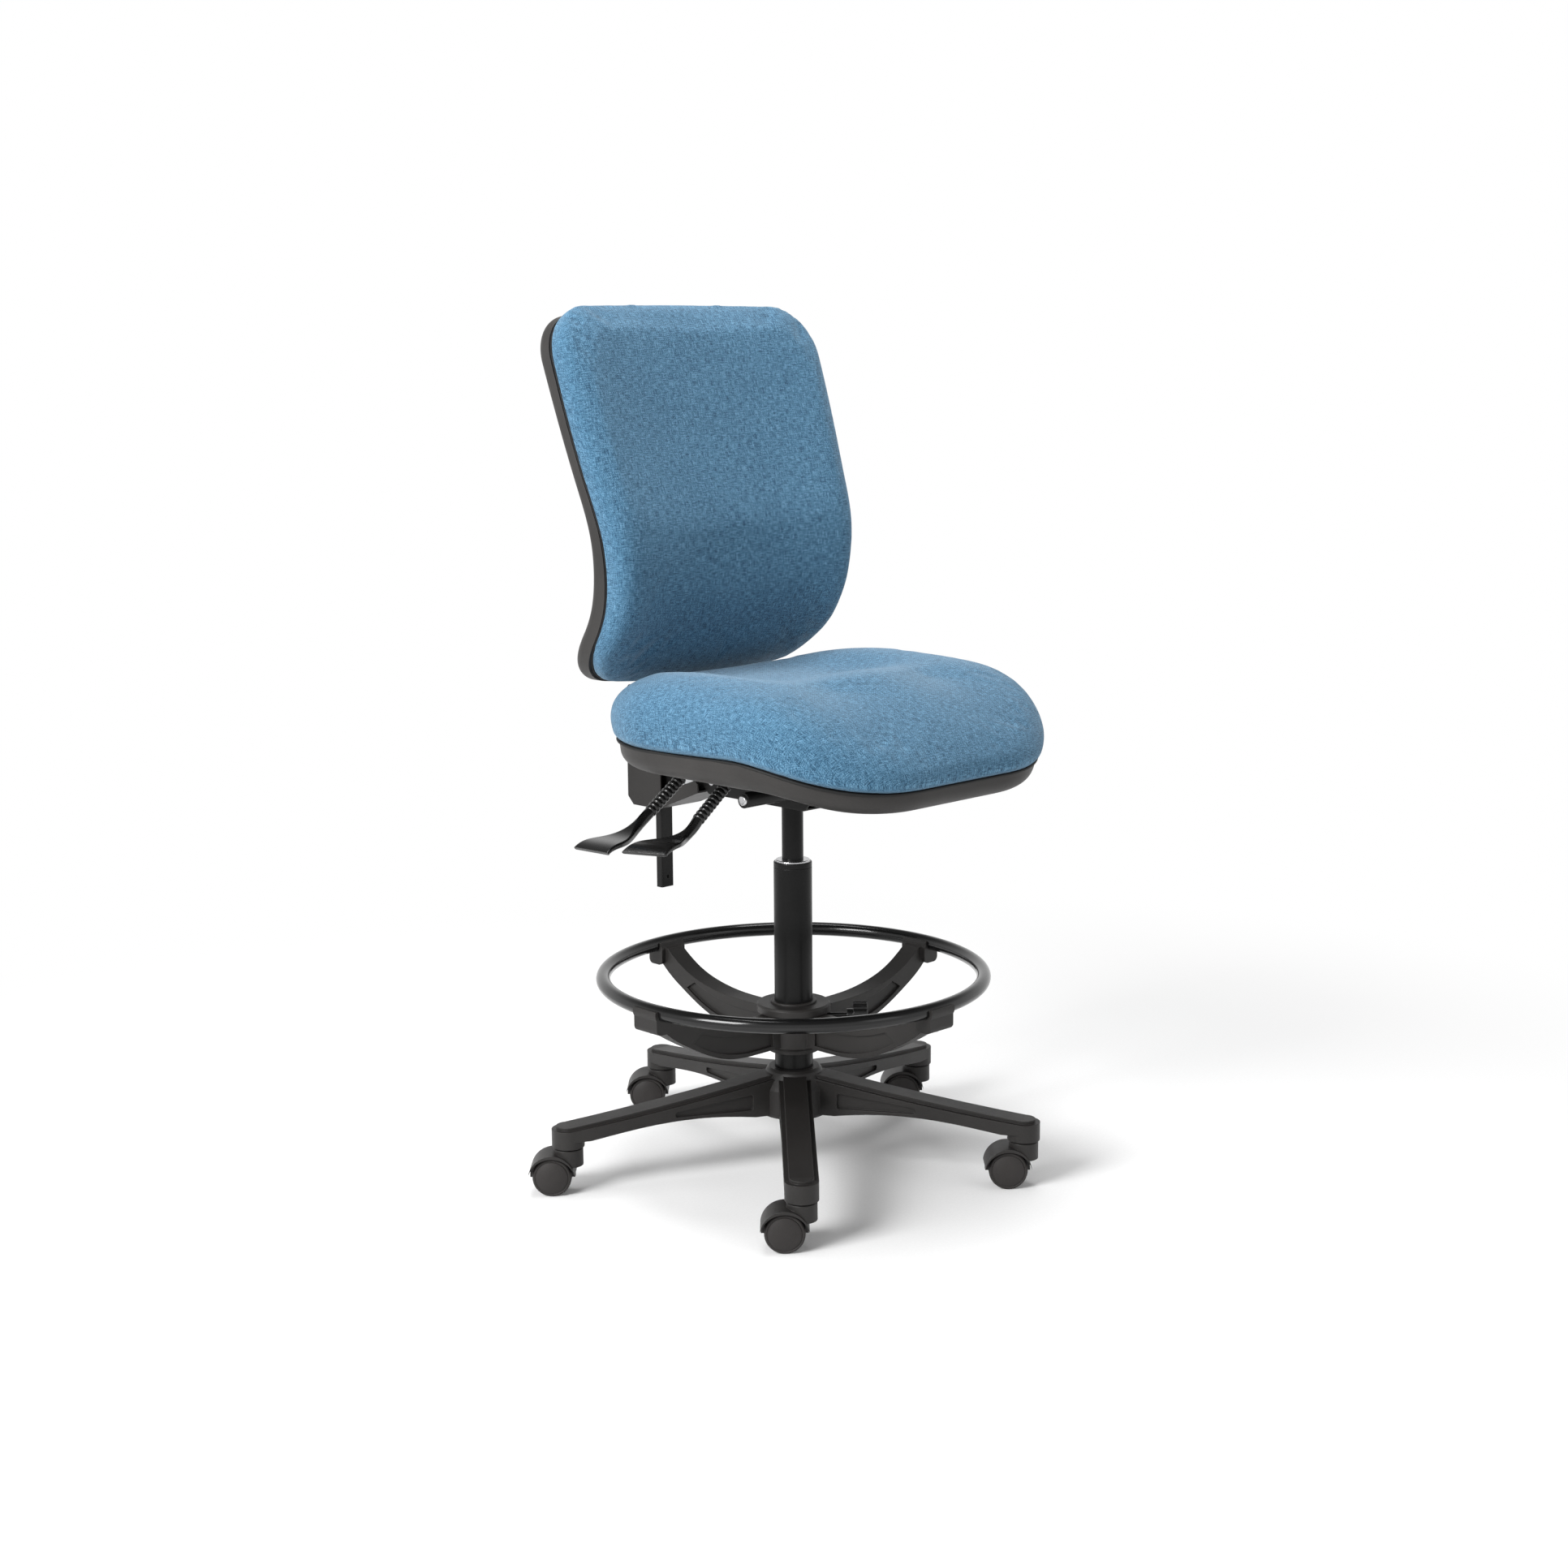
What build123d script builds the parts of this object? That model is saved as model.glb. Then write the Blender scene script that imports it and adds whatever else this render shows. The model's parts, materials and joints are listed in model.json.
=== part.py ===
from build123d import *
import os
from math import atan2, cos, degrees, radians, sin

os.makedirs("parts", exist_ok=True)

# Drafting chair. Millimetres, +Z up, floor at Z = 0, column axis through the origin.
# The sitter faces -Y and the sitter's right hand is on -X.

# ---------------------------------------------------------------- driving dimensions
GAP = 0.05                  # radial running clearance
LEG_COUNT = 5
LEG_ANGLE = -133.46         # direction of the first leg about +Z, degrees
STEM_RADIUS = 307.7         # column axis to castor stem
LEG_WIDTH = 42.0
LEG_UNDERSIDE = 62.5
WHEEL_RADIUS = 25.0
WHEEL_TRAIL = 20.5          # castor stem to wheel axle
TRAIL_ANGLE = 135.0         # direction all castors trail in, degrees
COLUMN_RADIUS = 25.0
COLUMN_TOP = 412.0
CYLINDER_RADIUS = 14.0
RING_RADIUS = 248.4         # centre line of the foot ring
RING_TUBE_RADIUS = 9.25
RING_HEIGHT = 260.6
SEAT_WIDTH = 480.0
SEAT_DEPTH = 464.0
SEAT_CENTRE_Y = -66.0
SEAT_CORNER = 165.0
SEAT_EDGE_ROUND = 20.0      # under the rim of the seat shell
SEAT_PIVOT = (-40.0, 514.0)     # Y and Z of the seat's tilt axis
BACK_PIVOT = (120.0, 505.0)     # Y and Z of the back's tilt axis
BAR_Y = 248.0
BAR_WIDTH = 22.0
BAR_THICK = 12.0
BACK_WRAP = 1200.0          # plan radius the back is curved to
BACK_HALF_ARC = 15.0

leg_angles = [LEG_ANGLE + i * 360 / LEG_COUNT for i in range(LEG_COUNT)]
stem_points = [(STEM_RADIUS * cos(radians(a)), STEM_RADIUS * sin(radians(a))) for a in leg_angles]


# ---------------------------------------------------------------- five-arm base
with BuildPart() as base_star:
    with BuildSketch(Plane.XZ) as hub_half:
        with BuildLine():
            Polyline((0, 75), (44, 75), (46, 79), (46, 112), (36, 134), (33, 137), (0, 137), close=True)
        make_face()
    revolve(axis=Axis.Z)
    for angle in leg_angles:
        leg_plane = Plane((0, 0, 0), x_dir=(cos(radians(angle)), sin(radians(angle)), 0),
                          z_dir=(sin(radians(angle)), -cos(radians(angle)), 0))
        with BuildSketch(leg_plane):
            with BuildLine():
                Line((20, 78), (60, 78))
                Spline((60, 78), (130, 85), (210, 82), (282, 72), tangents=((1, 0.15), (1, -0.15)))
                Line((282, 72), (STEM_RADIUS, 72))
                Line((STEM_RADIUS, 72), (STEM_RADIUS, 86))
                Spline((STEM_RADIUS, 86), (200, 99), (36, 126))
                Line((36, 126), (20, 126))
                Line((20, 126), (20, 78))
            make_face()
        extrude(amount=LEG_WIDTH / 2, both=True)
        with BuildSketch(leg_plane):
            with BuildLine():
                Line((30, 120), (30, 131))
                Line((30, 131), (38, 131))
                Spline((38, 131), (200, 104), (STEM_RADIUS, 90))
                Line((STEM_RADIUS, 90), (STEM_RADIUS, 80))
                Line((STEM_RADIUS, 80), (30, 120))
            make_face()
        extrude(amount=LEG_WIDTH / 2 - 6, both=True)
    with Locations(*[(x, y, LEG_UNDERSIDE) for x, y in stem_points]):
        Cylinder(LEG_WIDTH / 2, 86 - LEG_UNDERSIDE, align=(Align.CENTER, Align.CENTER, Align.MIN))
        Cylinder(LEG_WIDTH / 2 - 6, 90 - LEG_UNDERSIDE, align=(Align.CENTER, Align.CENTER, Align.MIN))
    # recessed flanks beside the hub and ribbed hollow underneath
    for angle in leg_angles:
        leg_plane = Plane((0, 0, 0), x_dir=(cos(radians(angle)), sin(radians(angle)), 0),
                          z_dir=(sin(radians(angle)), -cos(radians(angle)), 0))
        for side in (-1, 1):
            with BuildSketch(leg_plane.offset(side * (LEG_WIDTH / 2 - 4))):
                with BuildLine():
                    Polyline((64, 88), (170, 90), (170, 97), (64, 109), close=True)
                make_face()
                fillet(vertices(), 3)
            extrude(amount=side * 10, mode=Mode.SUBTRACT)
        for start, end in ((72, 128), (131, 206), (209, 280)):
            with BuildSketch(leg_plane):
                with BuildLine():
                    Polyline((start, 50), (end, 50), (end, 110 - 0.1 * end),
                             (start, 110 - 0.1 * start), close=True)
                make_face()
            extrude(amount=LEG_WIDTH / 2 - 8, both=True, mode=Mode.SUBTRACT)
    with Locations((0, 0, 84)):
        Cylinder(COLUMN_RADIUS + GAP, 60, align=(Align.CENTER, Align.CENTER, Align.MIN),
                 mode=Mode.SUBTRACT)
    with Locations((0, 0, 70)):
        Cylinder(18, 20, align=(Align.CENTER, Align.CENTER, Align.MIN), mode=Mode.SUBTRACT)
    with Locations(*[(x, y, LEG_UNDERSIDE) for x, y in stem_points]):
        Cylinder(5.5 + GAP, 22, align=(Align.CENTER, Align.CENTER, Align.MIN), mode=Mode.SUBTRACT)
base_star.part.label = "base_star"
export_step(base_star.part, "parts/base_star.step")


# ---------------------------------------------------------------- castor stems, one in each arm
with BuildPart() as castor_stems:
    with Locations(*[(x, y, 46.5) for x, y in stem_points]):
        Cylinder(5.5, 37, align=(Align.CENTER, Align.CENTER, Align.MIN))
    with Locations(*[(x, y, 61.1) for x, y in stem_points]):
        Cylinder(15, 1.4, align=(Align.CENTER, Align.CENTER, Align.MIN))
castor_stems.part.label = "castor_stems"
export_step(castor_stems.part, "parts/castor_stems.step")


# ---------------------------------------------------------------- twin-wheel castors
def castor_plane(x, y):
    """Local plane with X along the trail, Y up and Z across the two wheels."""
    a = radians(TRAIL_ANGLE)
    return Plane((x, y, 0), x_dir=(cos(a), sin(a), 0), z_dir=(sin(a), -cos(a), 0))


def build_hood(plane, name):
    with BuildPart() as hood:
        with BuildSketch(plane):
            with Locations((WHEEL_TRAIL, WHEEL_RADIUS)):
                Circle(30)
            with Locations((WHEEL_TRAIL, 20)):
                Circle(31, mode=Mode.SUBTRACT)
        extrude(amount=22.5, both=True)
        with Locations(Location((plane.origin.X, plane.origin.Y, 38))):
            Cylinder(19, 22.5, align=(Align.CENTER, Align.CENTER, Align.MIN))
        fillet(hood.edges().filter_by(GeomType.CIRCLE).sort_by(Axis.Z)[-1], 1.2)
        with BuildSketch(plane):
            with Locations((WHEEL_TRAIL, 20)):
                Circle(31)
        extrude(amount=30, both=True, mode=Mode.SUBTRACT)
        with BuildSketch(plane):
            with Locations((WHEEL_TRAIL, WHEEL_RADIUS)):
                Circle(29)
            with Locations((WHEEL_TRAIL, 0)):
                Rectangle(80, 2 * WHEEL_RADIUS - 6, mode=Mode.SUBTRACT)
            with Locations((WHEEL_TRAIL, WHEEL_RADIUS)):
                Circle(7)
        extrude(amount=4.4, both=True)
        with BuildSketch(plane):
            with Locations((WHEEL_TRAIL, WHEEL_RADIUS)):
                Circle(3)
        extrude(amount=10, both=True, mode=Mode.SUBTRACT)
        with Locations(Location((plane.origin.X, plane.origin.Y, 46))):
            Cylinder(5.5 + GAP, 20, align=(Align.CENTER, Align.CENTER, Align.MIN), mode=Mode.SUBTRACT)
    hood.part.label = name
    export_step(hood.part, "parts/" + name + ".step")


def build_axle(plane, name):
    with BuildPart() as axle:
        with BuildSketch(plane):
            with Locations((WHEEL_TRAIL, WHEEL_RADIUS)):
                Circle(3)
        extrude(amount=18, both=True)
        chamfer(axle.edges().filter_by(GeomType.CIRCLE), 0.6)
    axle.part.label = name
    export_step(axle.part, "parts/" + name + ".step")


def build_wheel(plane, side, name):
    """A solid wheel with a domed outer face, a rounded tread and a blind axle bore."""
    with BuildPart() as wheel:
        centre = plane.from_local_coords((WHEEL_TRAIL, WHEEL_RADIUS, 0))
        profile = Plane(centre, x_dir=plane.y_dir, z_dir=plane.x_dir * side)
        with BuildSketch(profile):
            with BuildLine():
                Line((3 + GAP, 4.8), (WHEEL_RADIUS - 1.5, 4.8))
                ThreePointArc((WHEEL_RADIUS - 1.5, 4.8), (WHEEL_RADIUS - 0.4, 5.2), (WHEEL_RADIUS, 6.3))
                Line((WHEEL_RADIUS, 6.3), (WHEEL_RADIUS, 15))
                ThreePointArc((WHEEL_RADIUS, 15), (WHEEL_RADIUS - 0.9, 17.1), (WHEEL_RADIUS - 3, 18))
                Line((WHEEL_RADIUS - 3, 18), (WHEEL_RADIUS - 3.4, 17.4))
                Line((WHEEL_RADIUS - 3.4, 17.4), (WHEEL_RADIUS - 4.2, 17.4))
                Line((WHEEL_RADIUS - 4.2, 17.4), (WHEEL_RADIUS - 4.6, 18.4))
                ThreePointArc((WHEEL_RADIUS - 4.6, 18.4), (13, 20.6), (5, 21.6))
                Line((5, 21.6), (0, 21.6))
                Line((0, 21.6), (0, 18.5))
                Line((0, 18.5), (3 + GAP, 18.5))
                Line((3 + GAP, 18.5), (3 + GAP, 4.8))
            make_face()
        revolve(axis=Axis(centre, plane.z_dir))
    wheel.part.label = name
    export_step(wheel.part, "parts/" + name + ".step")


for number, (stem_x, stem_y) in enumerate(stem_points, start=1):
    local = castor_plane(stem_x, stem_y)
    build_hood(local, f"castor_hood_{number}")
    build_axle(local, f"castor_axle_{number}")
    build_wheel(local, 1, f"castor_wheel_a_{number}")
    build_wheel(local, -1, f"castor_wheel_b_{number}")


# ---------------------------------------------------------------- gas column
with BuildPart() as column_outer_tube:
    with Locations((0, 0, 84)):
        Cylinder(COLUMN_RADIUS, COLUMN_TOP - 84, align=(Align.CENTER, Align.CENTER, Align.MIN))
    chamfer(column_outer_tube.edges().filter_by(GeomType.CIRCLE).sort_by(Axis.Z)[-1], 1)
    with Locations((0, 0, 88)):
        Cylinder(23, 400, align=(Align.CENTER, Align.CENTER, Align.MIN), mode=Mode.SUBTRACT)
    with Locations((0, 0, 80)):
        Cylinder(5.2, 20, align=(Align.CENTER, Align.CENTER, Align.MIN), mode=Mode.SUBTRACT)
    with BuildSketch(Plane.XZ):
        with Locations((COLUMN_RADIUS, COLUMN_TOP - 7)):
            Circle(0.7)
    revolve(axis=Axis.Z, mode=Mode.SUBTRACT)
column_outer_tube.part.label = "column_outer_tube"
export_step(column_outer_tube.part, "parts/column_outer_tube.step")

with BuildPart() as column_guide_bush:
    with Locations((0, 0, COLUMN_TOP - 80)):
        Cylinder(22.95, 80, align=(Align.CENTER, Align.CENTER, Align.MIN))
    with Locations((0, 0, COLUMN_TOP)):
        Cylinder(22.5, 2.5, align=(Align.CENTER, Align.CENTER, Align.MIN))
    fillet(column_guide_bush.edges().filter_by(GeomType.CIRCLE).sort_by(Axis.Z)[-1], 1.5)
    with Locations((0, 0, COLUMN_TOP - 90)):
        Cylinder(CYLINDER_RADIUS + GAP, 120, align=(Align.CENTER, Align.CENTER, Align.MIN),
                 mode=Mode.SUBTRACT)
column_guide_bush.part.label = "column_guide_bush"
export_step(column_guide_bush.part, "parts/column_guide_bush.step")

with BuildPart() as thrust_bearing:
    with Locations((0, 0, 88)):
        Cylinder(13, 6, align=(Align.CENTER, Align.CENTER, Align.MIN))
        Cylinder(5.2, 30, align=(Align.CENTER, Align.CENTER, Align.MIN), mode=Mode.SUBTRACT)
    with BuildSketch(Plane.XZ):
        with Locations((13, 91)):
            Circle(1.4)
    revolve(axis=Axis.Z, mode=Mode.SUBTRACT)
thrust_bearing.part.label = "thrust_bearing"
export_step(thrust_bearing.part, "parts/thrust_bearing.step")

with BuildPart() as piston_rod:
    with Locations((0, 0, 79)):
        Cylinder(5, 330, align=(Align.CENTER, Align.CENTER, Align.MIN))
    with Locations((0, 0, 94.1)):
        Cylinder(9, 4, align=(Align.CENTER, Align.CENTER, Align.MIN))
    with Locations((0, 0, 405)):
        Cylinder(11.9, 18, align=(Align.CENTER, Align.CENTER, Align.MIN))
    with Locations((0, 0, 81)):
        Cylinder(11, 2.9, align=(Align.CENTER, Align.CENTER, Align.MIN))
piston_rod.part.label = "piston_rod"
export_step(piston_rod.part, "parts/piston_rod.step")

with BuildPart() as gas_cylinder:
    with Locations((0, 0, 135)):
        Cylinder(CYLINDER_RADIUS, 401, align=(Align.CENTER, Align.CENTER, Align.MIN))
    chamfer(gas_cylinder.edges().filter_by(GeomType.CIRCLE), 0.8)
    with Locations((0, 0, 145)):
        Cylinder(12, 375, align=(Align.CENTER, Align.CENTER, Align.MIN), mode=Mode.SUBTRACT)
    with Locations((0, 0, 130)):
        Cylinder(5 + GAP, 20, align=(Align.CENTER, Align.CENTER, Align.MIN), mode=Mode.SUBTRACT)
    with Locations((0, 0, 526)):
        Cylinder(4 + GAP, 20, align=(Align.CENTER, Align.CENTER, Align.MIN), mode=Mode.SUBTRACT)
gas_cylinder.part.label = "gas_cylinder"
export_step(gas_cylinder.part, "parts/gas_cylinder.step")

with BuildPart() as release_button:
    with Locations((0, 0, 531)):
        Cylinder(4, 11, align=(Align.CENTER, Align.CENTER, Align.MIN))
    fillet(release_button.edges().filter_by(GeomType.CIRCLE).sort_by(Axis.Z)[-1], 0.8)
release_button.part.label = "release_button"
export_step(release_button.part, "parts/release_button.step")


# ---------------------------------------------------------------- foot ring
with BuildPart() as ring_collet:
    with Locations((0, 0, 160)):
        Cylinder(34, 6, align=(Align.CENTER, Align.CENTER, Align.MIN))
        Cylinder(30, 66.5, align=(Align.CENTER, Align.CENTER, Align.MIN))
    fillet(ring_collet.edges().filter_by(GeomType.CIRCLE).sort_by(Axis.Z)[-1], 1.5)
    with Locations((0, 0, 150)):
        Cylinder(COLUMN_RADIUS + GAP, 100, align=(Align.CENTER, Align.CENTER, Align.MIN),
                 mode=Mode.SUBTRACT)
    with Locations((0, 27, 210)):
        Box(2, 14, 70, mode=Mode.SUBTRACT)
ring_collet.part.label = "ring_collet"
export_step(ring_collet.part, "parts/ring_collet.step")

with BuildPart() as foot_ring_tube:
    with BuildSketch(Plane.XZ):
        with Locations((RING_RADIUS, RING_HEIGHT)):
            Circle(RING_TUBE_RADIUS)
            Circle(RING_TUBE_RADIUS - 1.5, mode=Mode.SUBTRACT)
    revolve(axis=Axis.Z)
foot_ring_tube.part.label = "foot_ring_tube"
export_step(foot_ring_tube.part, "parts/foot_ring_tube.step")

# the clamp knob stands square to the column, between two arms
knob_axis = Plane((0, 0, 204), x_dir=(0, 0, 1), z_dir=(cos(radians(-45)), sin(radians(-45)), 0))

with BuildPart() as foot_ring_spider:
    with BuildSketch(Plane.XZ):
        with BuildLine():
            Polyline((0, 166.1), (38, 166.1), (40, 169), (41, 210),
                     (48.5, 213), (48.5, 221), (46.5, 223.5), (0, 223.5), close=True)
        make_face()
    revolve(axis=Axis.Z)
    for quarter in range(4):
        turn = radians(90 * quarter)
        arm_plane = Plane((0, 0, 0), x_dir=(cos(turn), sin(turn), 0), z_dir=(sin(turn), -cos(turn), 0))
        with BuildSketch(arm_plane):
            with BuildLine():
                Line((34, 171), (70, 171))
                Spline((70, 171), (140, 178), (200, 206), (242, 236), tangents=((1, 0), (0.7, 0.7)))
                Line((242, 236), (RING_RADIUS - 4, 262))
                Line((RING_RADIUS - 4, 262), (230, 256))
                Spline((230, 256), (188, 230), (130, 215), (60, 212), tangents=((-0.8, -0.6), (-1, 0)))
                Line((60, 212), (34, 212))
                Line((34, 212), (34, 171))
            make_face()
        extrude(amount=14, both=True)
        with BuildSketch(arm_plane):
            with Locations((RING_RADIUS, RING_HEIGHT)):
                Circle(RING_TUBE_RADIUS + 4)
            with Locations((RING_RADIUS - 2, RING_HEIGHT - 13)):
                RectangleRounded(26, 28, 7)
            with Locations((RING_RADIUS, RING_HEIGHT + 14)):
                Rectangle(60, 20, mode=Mode.SUBTRACT)
        extrude(amount=21, both=True)
        # lower flanks stand back from the deck
        for side in (-1, 1):
            with BuildSketch(arm_plane.offset(side * 10)):
                with BuildLine():
                    Line((52, 176), (74, 176))
                    Spline((74, 176), (138, 184), (192, 209))
                    Line((192, 209), (176, 219))
                    Spline((176, 219), (130, 205), (74, 200))
                    Line((74, 200), (52, 200))
                    Line((52, 200), (52, 176))
                make_face()
            extrude(amount=side * 10, mode=Mode.SUBTRACT)
    with BuildSketch(Plane.XZ):
        with Locations((RING_RADIUS, RING_HEIGHT)):
            Circle(RING_TUBE_RADIUS + GAP)
    revolve(axis=Axis.Z, mode=Mode.SUBTRACT)
    with Locations((0, 0, 160)):
        Cylinder(30 + GAP, 80, align=(Align.CENTER, Align.CENTER, Align.MIN), mode=Mode.SUBTRACT)
    with BuildSketch(knob_axis.offset(20)):
        Circle(4 + GAP)
    extrude(amount=40, mode=Mode.SUBTRACT)
    with PolarLocations(RING_RADIUS, 4):
        with Locations((0, 0, RING_HEIGHT - 30)):
            Cylinder(3.4 + GAP, 22, align=(Align.CENTER, Align.CENTER, Align.MIN), mode=Mode.SUBTRACT)
foot_ring_spider.part.label = "foot_ring_spider"
export_step(foot_ring_spider.part, "parts/foot_ring_spider.step")

with BuildPart() as clamp_knob:
    with BuildSketch(knob_axis.offset(78)):
        Circle(18)
        with PolarLocations(19, 8):
            Circle(4, mode=Mode.SUBTRACT)
    extrude(amount=19)
    chamfer(clamp_knob.faces().sort_by(Axis((0, 0, 204), knob_axis.z_dir))[-1].edges(), 1.2)
    with BuildSketch(knob_axis.offset(70)):
        Circle(9)
    extrude(amount=8)
    with BuildSketch(knob_axis.offset(30.2)):
        Circle(4)
    extrude(amount=42)
clamp_knob.part.label = "clamp_knob"
export_step(clamp_knob.part, "parts/clamp_knob.step")

with BuildPart() as ring_clip_screws:
    with PolarLocations(RING_RADIUS, 4):
        with Locations((0, 0, RING_HEIGHT - 28.5)):
            Cylinder(3.4, 19.1, align=(Align.CENTER, Align.CENTER, Align.MIN))
ring_clip_screws.part.label = "ring_clip_screws"
export_step(ring_clip_screws.part, "parts/ring_clip_screws.step")


# ---------------------------------------------------------------- tilt mechanism on the column
pivot_y, pivot_z = SEAT_PIVOT
hinge_y, hinge_z = BACK_PIVOT
LEVER_FRONT = (43.0, 524.0, 9.3)    # Y and Z of the root, angle swept forward
LEVER_REAR = (124.0, 523.0, 5.0)
LEVER_PIVOT_X = -34.0
LEVER_PIN = 1.8             # radius of the cross pin a lever turns on


def lever_frame(root_y, root_z, sweep_angle):
    """Plane with X outward from the root, Y up and Z towards the rear."""
    a = radians(sweep_angle)
    return Plane((LEVER_PIVOT_X, root_y, root_z), x_dir=(-cos(a), -sin(a), 0), z_dir=(-sin(a), cos(a), 0))


def pivot_lug(frame, side):
    """Ear on one side of a lever rod, from the housing wall to the lever's pin."""
    with BuildPart() as lug:
        with BuildSketch(frame.offset(side * 5)):
            Circle(5)
            with BuildLine():
                Polyline((5, 0), (-5, -18), (-5.5, -18), (-5.5, -7), (-4.5, 2.5), close=True)
            make_face()
        extrude(amount=side * 3)
    return lug.part


with BuildPart() as mechanism_housing:
    with BuildSketch(Plane.YZ):
        with BuildLine():
            Polyline((-60, 500), (-52, 488), (126, 488), (134, 496), (134, 514),
                     (96, 530), (60, 537), (-52, 537), (-60, 528), close=True)
        make_face()
    extrude(amount=30, both=True)
    fillet(mechanism_housing.edges().filter_by(Axis.X), 3)
    with Locations((0, 41, 491)):
        Box(54, 196, 60, align=(Align.CENTER, Align.CENTER, Align.MIN), mode=Mode.SUBTRACT)
    with Locations((0, 0, 488)):
        Cylinder(20, 48, align=(Align.CENTER, Align.CENTER, Align.MIN))
        Cylinder(CYLINDER_RADIUS + GAP, 60, align=(Align.CENTER, Align.CENTER, Align.MIN),
                 mode=Mode.SUBTRACT)
    with Locations((0, 0, 480)):
        Cylinder(CYLINDER_RADIUS + GAP, 20, align=(Align.CENTER, Align.CENTER, Align.MIN),
                 mode=Mode.SUBTRACT)
    with BuildSketch(Plane.YZ):
        with Locations((LEVER_FRONT[0] + 1, LEVER_FRONT[1])):
            RectangleRounded(14, 13, 5)
    extrude(amount=-40, mode=Mode.SUBTRACT)
    for lever_root in (LEVER_FRONT, LEVER_REAR):
        for side in (-1, 1):
            add(pivot_lug(lever_frame(*lever_root), side))
        with BuildSketch(lever_frame(*lever_root).offset(-9)):
            Circle(LEVER_PIN + GAP)
        extrude(amount=18, mode=Mode.SUBTRACT)
    with BuildSketch(Plane.YZ):
        with Locations((pivot_y, pivot_z)):
            Circle(10 + GAP)
        with Locations((hinge_y, hinge_z)):
            Circle(5 + GAP)
    extrude(amount=40, both=True, mode=Mode.SUBTRACT)
mechanism_housing.part.label = "mechanism_housing"
export_step(mechanism_housing.part, "parts/mechanism_housing.step")

with BuildPart() as seat_pivot_tube:
    with BuildSketch(Plane.YZ.offset(-126)):
        with Locations((pivot_y, pivot_z)):
            Circle(10)
            Circle(7.05, mode=Mode.SUBTRACT)
    extrude(amount=166)
seat_pivot_tube.part.label = "seat_pivot_tube"
export_step(seat_pivot_tube.part, "parts/seat_pivot_tube.step")

with BuildPart() as seat_pivot_rod:
    with BuildSketch(Plane.YZ.offset(-129)):
        with Locations((pivot_y, pivot_z)):
            Circle(7)
    extrude(amount=172)
    fillet(seat_pivot_rod.edges().filter_by(GeomType.CIRCLE), 3)
seat_pivot_rod.part.label = "seat_pivot_rod"
export_step(seat_pivot_rod.part, "parts/seat_pivot_rod.step")

with BuildPart() as back_pivot_pin:
    with BuildSketch(Plane.YZ.offset(-32)):
        with Locations((hinge_y, hinge_z)):
            Circle(5)
    extrude(amount=64)
    chamfer(back_pivot_pin.edges().filter_by(GeomType.CIRCLE), 0.8)
back_pivot_pin.part.label = "back_pivot_pin"
export_step(back_pivot_pin.part, "parts/back_pivot_pin.step")


# ---------------------------------------------------------------- two hand levers
def slope_plane(frame, along, up, slope, roll=0):
    """Section plane square to a path that falls by slope degrees, turned by roll about the path."""
    a = radians(slope)
    ahead = frame.x_dir * cos(a) - frame.y_dir * sin(a)
    section = Plane(frame.from_local_coords((along, up, 0)), x_dir=frame.z_dir, z_dir=ahead)
    return section.rotated((0, 0, roll))


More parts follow.
